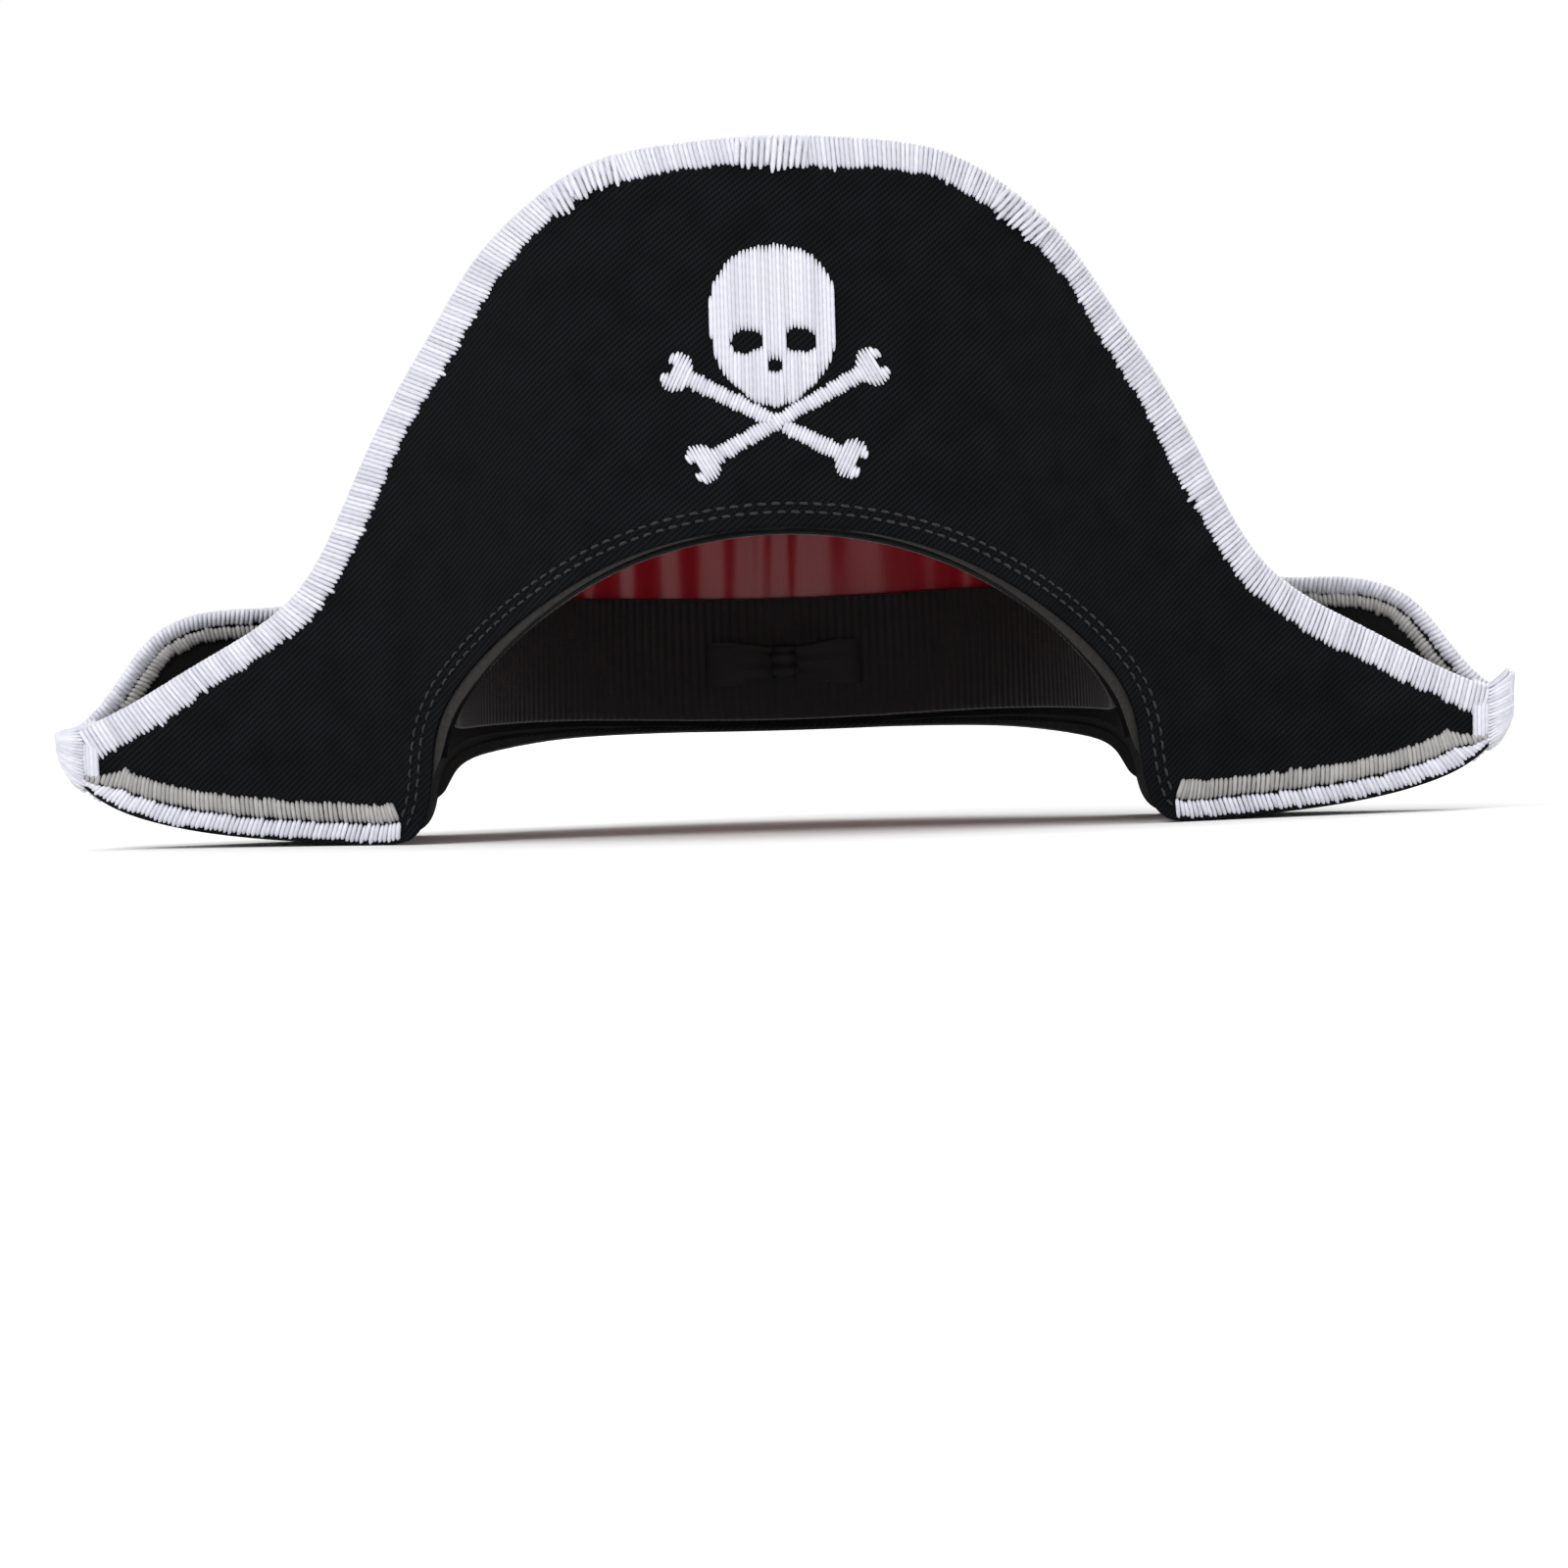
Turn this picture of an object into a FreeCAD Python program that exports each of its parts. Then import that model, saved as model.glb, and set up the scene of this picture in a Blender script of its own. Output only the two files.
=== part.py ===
"""Cocked pirate captain's hat: stiffened twill brim panels, felt crown, satin-stitched edges.

Row frame: +Z up, the front of the hat faces -Y, +X towards the wearer's left.
The origin is the centre of the head opening at the level of the brim's lowest edge.
All sizes are in millimetres.
"""

import FreeCAD, Part
import math
import os
from FreeCAD import Vector

DRIVING = [
    # alias, millimetres unless the note says otherwise, note
    ("head_half_length", 106.0, "outside of the crown at its base, front to back"),
    ("head_half_width", 88.0, "outside of the crown at its base, side to side"),
    ("crown_rise", 158.0, "top of the crown"),
    ("tip_seam", 128.0, "height of the seam between crown sides and crown tip"),
    ("felt", 2.2, "crown felt"),
    ("satin", 0.6, "lining"),
    ("band", 1.2, "sweatband thickness"),
    ("band_width", 32.0, "sweatband width"),
    ("piping_radius", 1.5, "cord in the crown's top seam"),
    ("half_span", 190.0, "centre to brim tip"),
    ("tip_half_gap", 1.7, "half the gap between the two panels at a tip"),
    ("panel_depth", 110.0, "inner face of a panel at its middle"),
    ("bow_radius", 92.0, "plan radius of a panel round the crown"),
    ("flank_radius", 250.0, "plan radius of a panel's flank, curved the other way"),
    ("lean", 0.05, "share of its depth by which a panel leans in over lean_height"),
    ("lean_height", 180.0, "height over which the lean is counted"),
    ("backing", 1.0, "inner cloth of a panel"),
    ("stiffener", 1.8, "buckram core of a panel"),
    ("face", 1.2, "outer twill of a panel"),
    ("front_rise", 180.0, "top of the front panel"),
    ("back_rise", 116.0, "top of the back panel"),
    ("tip_rise", 27.5, "height of the brim tips"),
    ("arch_rise", 80.5, "top of the arch over the forehead"),
    ("nape_share", 0.3, "height of the arch at the nape, as a share of arch_rise"),
    ("underside", 1.6, "cloth that closes the brim from below"),
    ("trim_width", 8.4, "satin border along a panel's top edge"),
    ("trim_thick", 1.4, "thread standing proud of the cloth"),
    ("trim_end", 182.0, "where the borders stop and the tip wrap starts"),
    ("row_width", 5.2, "one row of satin stitch along a lower edge"),
    ("back_row", 3.6, "one of the two rows along the back panel's top edge"),
    ("badge_thick", 1.6, "raised embroidery of the badge"),
    ("wire_inset", 2.6, "edge wire below the panel's edge"),
    ("wire_size", 1.2, "edge wire, flat section"),
    ("bow_thick", 3.8, "ribbon bow at the back of the sweatband, front to back"),
    ("bow_half_width", 22.5, "bow, knot to the end of a loop"),
    ("bow_half_height", 5.6, "bow, at the wide end of a loop"),
]

# Half outlines in the XZ plane, from the middle to the tip, as shares of half_span and of a height.
FRONT_TOP = [
    (0.000, 1.000), (0.132, 0.992), (0.237, 0.970), (0.321, 0.917), (0.395, 0.842),
    (0.453, 0.750), (0.516, 0.642), (0.571, 0.531), (0.621, 0.422), (0.658, 0.364),
    (0.716, 0.311), (0.805, 0.257), (0.900, 0.200), (1.000, 0.153),
]
BACK_TOP = [
    (0.000, 1.000), (0.132, 0.966), (0.290, 0.853), (0.447, 0.678), (0.579, 0.560),
    (0.695, 0.517), (0.800, 0.510), (0.858, 0.474), (0.905, 0.388), (0.958, 0.284),
    (1.000, 0.237),
]
# The lower edge: the side stretch in shares of half_span and tip_rise, the arch in those of
# head_half_width and arch_rise.
SIDE_LOW = [(1.000, 1.000), (0.979, 0.690), (0.947, 0.472), (0.879, 0.262), (0.763, 0.102), (0.605, 0.011)]
ARCH = [
    (1.148, 0.000), (1.080, 0.022), (1.037, 0.106), (1.017, 0.248), (0.990, 0.460),
    (0.864, 0.680), (0.682, 0.825), (0.455, 0.932), (0.227, 0.984), (0.000, 1.000),
]
# Crown sections: height as a share of crown_rise, and how much of the base oval is left there.
SEAM_SHARE = 0.810
CROWN_SECTIONS = [
    (-0.060, 1.000), (0.350, 0.996), (0.620, 0.972), (SEAM_SHARE, 0.915), (0.925, 0.780),
    (0.985, 0.560), (1.000, 0.400),
]
# Skull of the badge, crown to chin: shares of its half width, and mm about its middle.
SKULL = [
    (0.00, 20.8), (0.52, 18.6), (0.88, 12.4), (1.00, 4.6), (0.98, -3.4), (0.92, -8.8),
    (0.78, -13.4), (0.51, -17.6), (0.27, -20.8), (0.00, -21.6),
]
BADGE_MIDDLE = 133.0
BADGE_HALF_WIDTH = 16.4
EYE = {"aside": 7.0, "below": 4.6, "half_width": 4.1, "half_height": 3.1, "tilt": 14}
NOSE = {"below": 10.9, "half_width": 1.7, "half_height": 1.5}
BONE_CROSSING = 107.5
# The bones cross below their middles, so that their upper arms are the longer ones.
BONE = {"half_length": 25.0, "raised": 3.5, "thick": 4.0, "knob": 2.9, "knob_aside": 2.7, "tilt": 28}

WIRE_GAP = 0.4       # between the edge wire and the buckram below it
WIRE_PAST_BORDER = 4.0
ROW_GAP = 0.3        # between the border and the rows along the lower edge
ROW_START = 3.0      # from the foot of the arch to the start of a row
REACH = 150.0        # half the depth of every cutting block, more than half the hat's depth
FLOOR, SKY = -20.0, 220.0    # bottom and top of every block that is cut to an outline
BEYOND = 4.0         # how far a block runs past the brim tips

doc = FreeCAD.newDocument("PirateHat")
sheet = doc.addObject("Spreadsheet::Sheet", "Sizes")
sheet.Label = "Sizes"
for row, (alias, value, note) in enumerate(DRIVING, start=1):
    sheet.set(f"A{row}", str(value))
    sheet.setAlias(f"A{row}", alias)
    sheet.set(f"B{row}", note)
doc.recompute()
PANEL = sheet.backing + sheet.stiffener + sheet.face


# ---------------------------------------------------------------- helpers


def node(label, shape):
    """A sub-part whose shape is computed here; its label names its file."""
    feature = doc.addObject("Part::Feature", label)
    feature.Label = label
    feature.Shape = shape.removeSplitter() if shape.Solids else shape
    return feature


def mirrored(half):
    """A half outline, middle first, as one list from the left tip to the right tip."""
    left = [(-x, z) for x, z in reversed(half) if x > 1e-6]
    return left + list(half)


def spline(points, y):
    curve = Part.BSplineCurve()
    curve.interpolate([Vector(x, y, z) for x, z in points])
    return curve


def shifted(points, distance):
    """The outline moved along its own normals: outwards (up) if distance is positive."""
    if distance == 0:
        return list(points)
    curve = spline(points, 0)
    moved = []
    for x, z in points:
        tangent = curve.tangent(curve.parameter(Vector(x, 0, z)))[0]
        moved.append((x - tangent.z * distance, z + tangent.x * distance))
    return moved


def closed_below(points, y, floor):
    """A wire in an XZ plane: the outline above, and a straight floor below."""
    top = spline(points, y).toShape()
    first, last = points[0], points[-1]
    corners = [last, (last[0], floor), (first[0], floor), first]
    ring = [Vector(x, y, z) for x, z in corners]
    sides = [Part.makeLine(a, b) for a, b in zip(ring, ring[1:])]
    return Part.Wire([top] + sides)


def prism(points):
    """Everything below the outline, through the whole depth of the hat."""
    face = Part.Face(closed_below(points, -REACH, FLOOR))
    return face.extrude(Vector(0, 2 * REACH, 0))


def slab(x0, x1):
    """Everything between two values of x."""
    return Part.makeBox(x1 - x0, 2 * REACH, SKY - 2 * FLOOR, Vector(x0, -REACH, 2 * FLOOR))


# ---------------------------------------------------------------- plan of the brim panels


def join_angle():
    """Where the bow round the crown meets the flank, as the angle from the hat's centre line."""
    centre = sheet.panel_depth - sheet.bow_radius
    tip = Vector(sheet.half_span, centre - sheet.tip_half_gap, 0)
    both = sheet.bow_radius + sheet.flank_radius
    along = (tip.Length**2 + both**2 - sheet.flank_radius**2) / (2 * both)
    tip_angle = math.atan2(tip.x, -tip.y)
    return tip_angle - math.acos(along / tip.Length)


def plan_edges(offset, reach):
    """Left flank, bow and right flank of a front panel's plan line, offset outwards."""
    phi = join_angle()
    centre = Vector(0, sheet.bow_radius - sheet.panel_depth, 0)
    radius = sheet.bow_radius + offset
    flank = sheet.flank_radius - offset
    middle = centre + Vector(math.sin(phi), -math.cos(phi), 0) * (sheet.bow_radius + sheet.flank_radius)

    def on_flank(x):
        return Vector(x, middle.y + math.sqrt(flank**2 - (x - middle.x) ** 2), 0)

    join = centre + Vector(math.sin(phi), -math.cos(phi), 0) * radius
    half_way = on_flank((join.x + reach) / 2)
    end = on_flank(reach)
    flip = lambda v: Vector(-v.x, v.y, 0)
    return [
        Part.Arc(flip(end), flip(half_way), flip(join)).toShape(),
        Part.Arc(flip(join), centre + Vector(0, -radius, 0), join).toShape(),
        Part.Arc(join, half_way, end).toShape(),
    ]


def ends(edges):
    return edges[0].Vertexes[0].Point, edges[-1].Vertexes[-1].Point


def leaning(edges):
    """A closed plan loop drawn up into a solid whose depth shrinks with height."""
    loop = Part.Wire(Part.__sortEdges__(edges))
    levels = []
    for height in (FLOOR, SKY):
        squeeze = FreeCAD.Matrix()
        squeeze.scale(1, 1 - sheet.lean * height / sheet.lean_height, 1)
        level = loop.transformGeometry(squeeze)
        level.translate(Vector(0, 0, height))
        levels.append(level)
    return Part.makeLoft(levels, True, True)


def band(inner, outer, side):
    """The layer of a panel between two offsets. side is 1 for the front, -1 for the back."""
    reach = sheet.half_span + BEYOND
    near, far = plan_edges(inner, reach), plan_edges(outer, reach)
    caps = [Part.makeLine(a, b) for a, b in zip(ends(near), ends(far))]
    layer = leaning(near + far + caps)
    return layer if side > 0 else layer.mirror(Vector(0, 0, 0), Vector(0, 1, 0))


def lens(offset):
    """The space between the two panels, with its walls at the given offset."""
    reach = sheet.half_span + BEYOND if offset > 0 else sheet.half_span
    half = plan_edges(offset, reach)
    left, right = ends(half)
    front = leaning(half + [Part.makeLine(right, Vector(right.x, 0, 0)),
                            Part.makeLine(Vector(right.x, 0, 0), Vector(left.x, 0, 0)),
                            Part.makeLine(Vector(left.x, 0, 0), left)])
    return front.fuse(front.mirror(Vector(0, 0, 0), Vector(0, 1, 0)))


# ---------------------------------------------------------------- outlines


def top_outline(half, rise):
    return mirrored([(x * sheet.half_span, z * rise) for x, z in half])


def low_outline(arch_share):
    """The brim's lower edge from past one tip to past the other, its arch at that share of its height."""
    side = [(x * sheet.half_span, z * sheet.tip_rise) for x, z in SIDE_LOW]
    arch = [(x * sheet.head_half_width, z * sheet.arch_rise * arch_share) for x, z in ARCH]
    beyond = [(sheet.half_span + 6, sheet.tip_rise + 18)]
    return mirrored(list(reversed(beyond + side + arch)))


def under(lift=0.0, skin=0.0):
    """The space under the brim, high at the forehead and low at the nape."""
    levels = []
    for y, share in ((-REACH, 1.0), (REACH, sheet.nape_share)):
        slope = (1 - sheet.nape_share) / (2 * sheet.panel_depth)
        at = 1.0 - slope * (y + sheet.panel_depth)
        outline = shifted(low_outline(at), skin)
        levels.append(closed_below([(x, z + lift) for x, z in outline], y, 2 * FLOOR))
    return Part.makeLoft(levels, True, True)


FRONT_LINE = top_outline(FRONT_TOP, sheet.front_rise)
BACK_LINE = top_outline(BACK_TOP, sheet.back_rise)
UNDER = under()


# ---------------------------------------------------------------- crown


def crown_body(name, inset):
    """An oval dome lofted through ellipses; inset names the layers that lie outside it."""
    ovals = []
    for number, (share, left) in enumerate(CROWN_SECTIONS):
        oval = doc.addObject("Part::Ellipse", f"{name}_oval_{number}")
        oval.MajorRadius, oval.MinorRadius = 100, 50
        oval.setExpression("MajorRadius", f"(Sizes.head_half_length - ({inset})) * {left}")
        oval.setExpression("MinorRadius", f"(Sizes.head_half_width - ({inset})) * {left}")
        oval.setExpression(".Placement.Base.z", f"(Sizes.crown_rise - ({inset})) * {share}")
        oval.Placement.Rotation = FreeCAD.Rotation(Vector(0, 0, 1), 90)
        ovals.append(oval)
    dome = doc.addObject("Part::Loft", name)
    dome.Sections, dome.Solid, dome.Ruled = ovals, True, False
    return dome


def cut(name, base, tool):
    result = doc.addObject("Part::Cut", name)
    result.Base, result.Tool = base, tool
    return result


def common(name, base, tool):
    result = doc.addObject("Part::Common", name)
    result.Base, result.Tool = base, tool
    result.Label = name
    return result


def half_box(name, low, high, side):
    """A box on one side of the middle, or on both if side is 0, between two heights."""
    box = doc.addObject("Part::Box", name)
    box.Length = 2 * REACH if side == 0 else REACH
    box.Width = 2 * REACH
    box.setExpression("Height", f"({high}) - ({low})")
    box.setExpression(".Placement.Base.z", f"{low}")
    box.Placement.Base.x = 0 if side > 0 else -REACH
    box.Placement.Base.y = -REACH
    return box


def crown_parts():
    """Felt crown, satin lining and sweatband, each a shell between two domes."""
    under_tool = node("space_under_brim", UNDER)
    domes = [
        crown_body("dome_outside", "0"),
        crown_body("dome_felt", "Sizes.felt"),
        crown_body("dome_lining", "Sizes.felt + Sizes.satin"),
        crown_body("dome_band", "Sizes.felt + Sizes.satin + Sizes.band"),
    ]
    cord = piping()
    shells = []
    for number, name in enumerate(("felt_shell", "lining_shell", "band_shell")):
        hollow = cut(f"{name}_hollow", domes[number], domes[number + 1])
        shells.append(cut(name, hollow, under_tool))
    grooved = cut("felt_shell_grooved", shells[0], cord)
    for side, word in ((-1, "left"), (1, "right")):
        wall = half_box(f"wall_box_{word}", str(2 * FLOOR), "Sizes.tip_seam", side)
        common(f"crown_side_{word}", grooved, wall)
        inner = half_box(f"lining_box_{word}", str(2 * FLOOR), "Sizes.tip_seam", side)
        common(f"lining_side_{word}", shells[1], inner)
    common("crown_tip", grooved, half_box("tip_box", "Sizes.tip_seam", str(SKY), 0))
    common("lining_tip", shells[1], half_box("lining_tip_box", "Sizes.tip_seam", str(SKY), 0))
    raised = node("space_under_band_top", under(lift=sheet.band_width))
    common("sweatband", shells[2], raised)
    return domes[0]


def piping():
    """The cord sewn into the seam between the crown's sides and its tip."""
    share = dict(CROWN_SECTIONS)[SEAM_SHARE]
    path = doc.addObject("Part::Ellipse", "piping_path")
    path.MajorRadius, path.MinorRadius = 100, 50
    path.setExpression("MajorRadius", f"Sizes.head_half_length * {share} - Sizes.felt / 4")
    path.setExpression("MinorRadius", f"Sizes.head_half_width * {share} - Sizes.felt / 4")
    path.setExpression(".Placement.Base.z", "Sizes.tip_seam")
    path.Placement.Rotation = FreeCAD.Rotation(Vector(0, 0, 1), 90)
    doc.recompute()
    start = path.Shape.Vertexes[0].Point
    along = path.Shape.Edges[0].tangentAt(path.Shape.Edges[0].FirstParameter)
    section = doc.addObject("Part::Circle", "piping_section")
    section.setExpression("Radius", "Sizes.piping_radius")
    section.Placement = FreeCAD.Placement(start, FreeCAD.Rotation(Vector(0, 0, 1), along))
    cord = doc.addObject("Part::Sweep", "crown_piping")
    cord.Sections, cord.Spine, cord.Solid, cord.Frenet = [section], (path, ["Edge1"]), True, True
    return cord


def sweatband_bow():
    """The flat ribbon bow at the back of the sweatband: a knot with a loop at each side."""
    inside = sheet.head_half_length - sheet.felt - sheet.satin - sheet.band
    height = sheet.arch_rise * sheet.nape_share + sheet.band_width * 0.55
    thick, flare = sheet.bow_thick, sheet.bow_half_height
    waist, loop_start, loop_end = flare / 2, 2.0, sheet.bow_half_width - 3
    knot_width, knot_height = 7.0, 8.0
    bow = Part.makeBox(knot_width, thick + 0.8, knot_height, Vector(-knot_width / 2, 0, -knot_height / 2))
    for side in (-1, 1):
        corners = [Vector(side * x, 0, z) for x, z in (
            (loop_end, -flare), (loop_start, -waist), (loop_start, waist), (loop_end, flare))]
        edges = [Part.makeLine(a, b) for a, b in zip(corners, corners[1:])]
        round_end = Vector(side * sheet.bow_half_width, 0, 0)
        edges.append(Part.Arc(corners[-1], round_end, corners[0]).toShape())
        bow = bow.fuse(Part.Face(Part.Wire(edges)).extrude(Vector(0, thick, 0)))
    bow.translate(Vector(0, inside - thick - 1.6, height))
    node("sweatband_bow", bow)


# ---------------------------------------------------------------- brim


def panel_parts(word, side, line):
    """Face, buckram, backing and edge wire of one brim panel."""
    sheet_area = prism(line).cut(UNDER)
    core_area = prism(shifted(line, -sheet.wire_inset - sheet.wire_size - WIRE_GAP)).cut(UNDER)
    below_wire = prism(shifted(line, -sheet.wire_inset - sheet.wire_size))
    wire_area = prism(shifted(line, -sheet.wire_inset)).cut(below_wire)
    core_start = sheet.backing
    core_end = sheet.backing + sheet.stiffener
    tips = slab(-sheet.half_span, sheet.half_span)
    node(f"{word}_panel_backing", band(0, core_start, side).common(sheet_area).common(tips))
    node(f"{word}_panel_stiffener", band(core_start, core_end, side).common(core_area).common(tips))
    node(f"{word}_panel_face", band(core_end, PANEL, side).common(sheet_area).common(tips))
    wire_from = (core_start + core_end - sheet.wire_size) / 2
    wire = band(wire_from, wire_from + sheet.wire_size, side).common(wire_area).cut(UNDER)
    ends_at = sheet.trim_end + WIRE_PAST_BORDER
    node(f"{word}_edge_wire", wire.common(slab(-ends_at, ends_at)))


def edge_border(word, side, line):
    """The satin border that wraps a panel's top edge; the back one has a grey inner row."""
    wrap = sheet.trim_thick
    panel = band(0, PANEL, side).common(prism(line))
    thick = band(-wrap, PANEL + wrap, side)
    reach = slab(-sheet.trim_end, sheet.trim_end)
    outside = prism(shifted(line, wrap))
    if side > 0:
        area = outside.cut(prism(shifted(line, -sheet.trim_width)))
        node("front_edge_border", thick.common(area).cut(panel).cut(UNDER).common(reach))
        return
    middle = prism(shifted(line, -sheet.back_row))
    inner = prism(shifted(line, -2 * sheet.back_row))
    node("back_edge_border", thick.common(outside.cut(middle)).cut(panel).cut(UNDER).common(reach))
    node("back_edge_grey_row", thick.common(middle.cut(inner)).cut(panel).cut(UNDER).common(reach))


def lower_rows(word, side, line):
    """Rows of satin stitch on the outer face, along the lower edge from the opening to a tip."""
    proud = band(PANEL, PANEL + sheet.trim_thick, side)
    free = prism(shifted(line, -sheet.trim_width - ROW_GAP))
    white = under(lift=sheet.row_width)
    grey = under(lift=2 * sheet.row_width)
    start = ARCH[0][0] * sheet.head_half_width + ROW_START
    for sign, hand in ((-1, "left"), (1, "right")):
        stretch = slab(*sorted((sign * start, sign * sheet.trim_end)))
        here = proud.common(stretch).common(free)
        node(f"{word}_lower_row_{hand}", here.common(white).cut(UNDER))
        if side > 0:
            node(f"{word}_lower_grey_row_{hand}", here.common(grey).cut(white))


def tip_wraps():
    """Thread wrapped over both panels at each tip, which holds them together."""
    hull = lens(PANEL + sheet.trim_thick)
    tall = prism(shifted(FRONT_LINE, sheet.trim_thick))
    cloth = band(0, PANEL, 1).fuse(band(0, PANEL, -1)).common(prism(FRONT_LINE)).common(
        slab(-sheet.half_span, sheet.half_span))
    low = under(lift=-sheet.trim_thick)
    for sign, hand in ((-1, "left"), (1, "right")):
        stretch = slab(*sorted((sign * sheet.trim_end, sign * (sheet.half_span + sheet.trim_thick))))
        wrap = hull.common(tall).common(stretch).cut(low).cut(cloth)
        node(f"tip_wrap_{hand}", max(wrap.Solids, key=lambda s: s.Volume))


def underside_parts(crown):
    """The cloth that closes the brim from below, from the crown out to the panels."""
    skin = under(skin=sheet.underside).cut(UNDER)
    ring = lens(0).common(skin).cut(crown)
    for side, word in ((-1, "front"), (1, "back")):
        width = 2 * (sheet.half_span + BEYOND)
        box = Part.makeBox(width, REACH, SKY, Vector(-width / 2, min(0, side * REACH), FLOOR))
        node(f"underside_{word}", ring.common(box))


# ---------------------------------------------------------------- badge


def closed_spline(points):
    curve = Part.BSplineCurve()
    curve.interpolate([Vector(x, -REACH, z) for x, z in points], PeriodicFlag=True)
    return Part.Face(Part.Wire([curve.toShape()]))


def through(face):
    return face.extrude(Vector(0, REACH, 0))


def oval_hole(x, z, half_width, half_height, tilt):
    edge = Part.Ellipse(Vector(0, 0, 0), half_width, half_height).toShape()
    face = Part.Face(Part.Wire([edge]))
    face.rotate(Vector(0, 0, 0), Vector(1, 0, 0), 90)
    face.rotate(Vector(0, 0, 0), Vector(0, 1, 0), tilt)
    face.translate(Vector(x, -REACH, z))
    return through(face)


def skull_area():
    half = [(x * BADGE_HALF_WIDTH, z + BADGE_MIDDLE) for x, z in SKULL]
    area = through(closed_spline(half + [(-x, z) for x, z in reversed(half[1:-1])]))
    for sign in (-1, 1):
        area = area.cut(oval_hole(sign * EYE["aside"], BADGE_MIDDLE - EYE["below"],
                                  EYE["half_width"], EYE["half_height"], sign * EYE["tilt"]))
    return area.cut(oval_hole(0, BADGE_MIDDLE - NOSE["below"], NOSE["half_width"], NOSE["half_height"], 0))


def bone_area(tilt):
    """A bone with two knobs at each end, turned about the crossing."""
    half, thick = BONE["half_length"], BONE["thick"]
    middle = math.copysign(BONE["raised"], tilt)
    area = Part.makeBox(2 * half, REACH, thick, Vector(middle - half, -REACH, -thick / 2))
    for end in (middle - half, middle + half):
        for knob in (-1, 1):
            foot = Vector(end, -REACH, knob * BONE["knob_aside"])
            area = area.fuse(Part.makeCylinder(BONE["knob"], REACH, foot, Vector(0, 1, 0)))
    area.rotate(Vector(0, 0, 0), Vector(0, 1, 0), -tilt)
    area.translate(Vector(0, 0, BONE_CROSSING))
    return area


def badge_parts():
    """Skull over crossed bones, raised embroidery on the front panel's face."""
    proud = band(PANEL, PANEL + sheet.badge_thick, 1)
    skull = proud.common(skull_area())
    upper = proud.common(bone_area(BONE["tilt"])).cut(skull)
    lower = proud.common(bone_area(-BONE["tilt"])).cut(skull).cut(upper)
    node("badge_skull", skull)
    node("badge_bone_upper", upper)
    node("badge_bone_lower", lower)


# ---------------------------------------------------------------- build and write

HELPERS = ("space_under_brim", "space_under_band_top")

for panel_word, panel_side, panel_line in (("front", 1, FRONT_LINE), ("back", -1, BACK_LINE)):
    panel_parts(panel_word, panel_side, panel_line)
    edge_border(panel_word, panel_side, panel_line)
    lower_rows(panel_word, panel_side, panel_line)
tip_wraps()
outer_dome = crown_parts()
sweatband_bow()
badge_parts()
doc.recompute()
underside_parts(outer_dome.Shape)
doc.recompute()

broken = [o.Label for o in doc.Objects if "Invalid" in o.State or "Error" in o.State]
if broken:
    raise RuntimeError(f"features that failed: {broken}")

used = set(o.Name for feature in doc.Objects for o in feature.OutList)
parts = [o for o in doc.Objects if hasattr(o, "Shape") and o.Label not in HELPERS
         and (o.Name not in used or o.Label == "crown_piping")]
os.makedirs("parts", exist_ok=True)
for part in parts:
    shape = part.Shape
    if shape.isNull() or not shape.isValid() or not shape.Solids:
        raise RuntimeError(f"{part.Label} has no valid solid")
    shape.exportStep(f"parts/{part.Label}.step")
    size = shape.BoundBox
    print(f"{part.Label:28s} {len(shape.Solids)} solids {shape.Volume:10.0f} mm3"
          f"  x {size.XMin:7.1f} {size.XMax:7.1f}  y {size.YMin:7.1f} {size.YMax:7.1f}"
          f"  z {size.ZMin:7.1f} {size.ZMax:7.1f}")
print(len(parts), "sub-parts written")
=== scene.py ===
# %% [markdown]
# # A pirate captain's hat, built around its imported frame
#
# The hat is two stiff cloth panels sewn round a felt crown. A border of thick white thread runs
# along the upper edge, rows of white thread run along the lower edge with grey thread beside them,
# the grey being painted shade on the white rows' binding, and a small skull over crossed bones is
# embroidered on the front. Every thread is real geometry, because at this size the eye can count
# the stitches, and a bump map would go flat at the outline.
#
# The imported CAD model is the frame: it says how big the hat is and where each piece lies. Inside
# this lesson lengths are in millimetres, and the helper that makes a mesh turns them into metres.

# %% Load the fixed frame
import math

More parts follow.
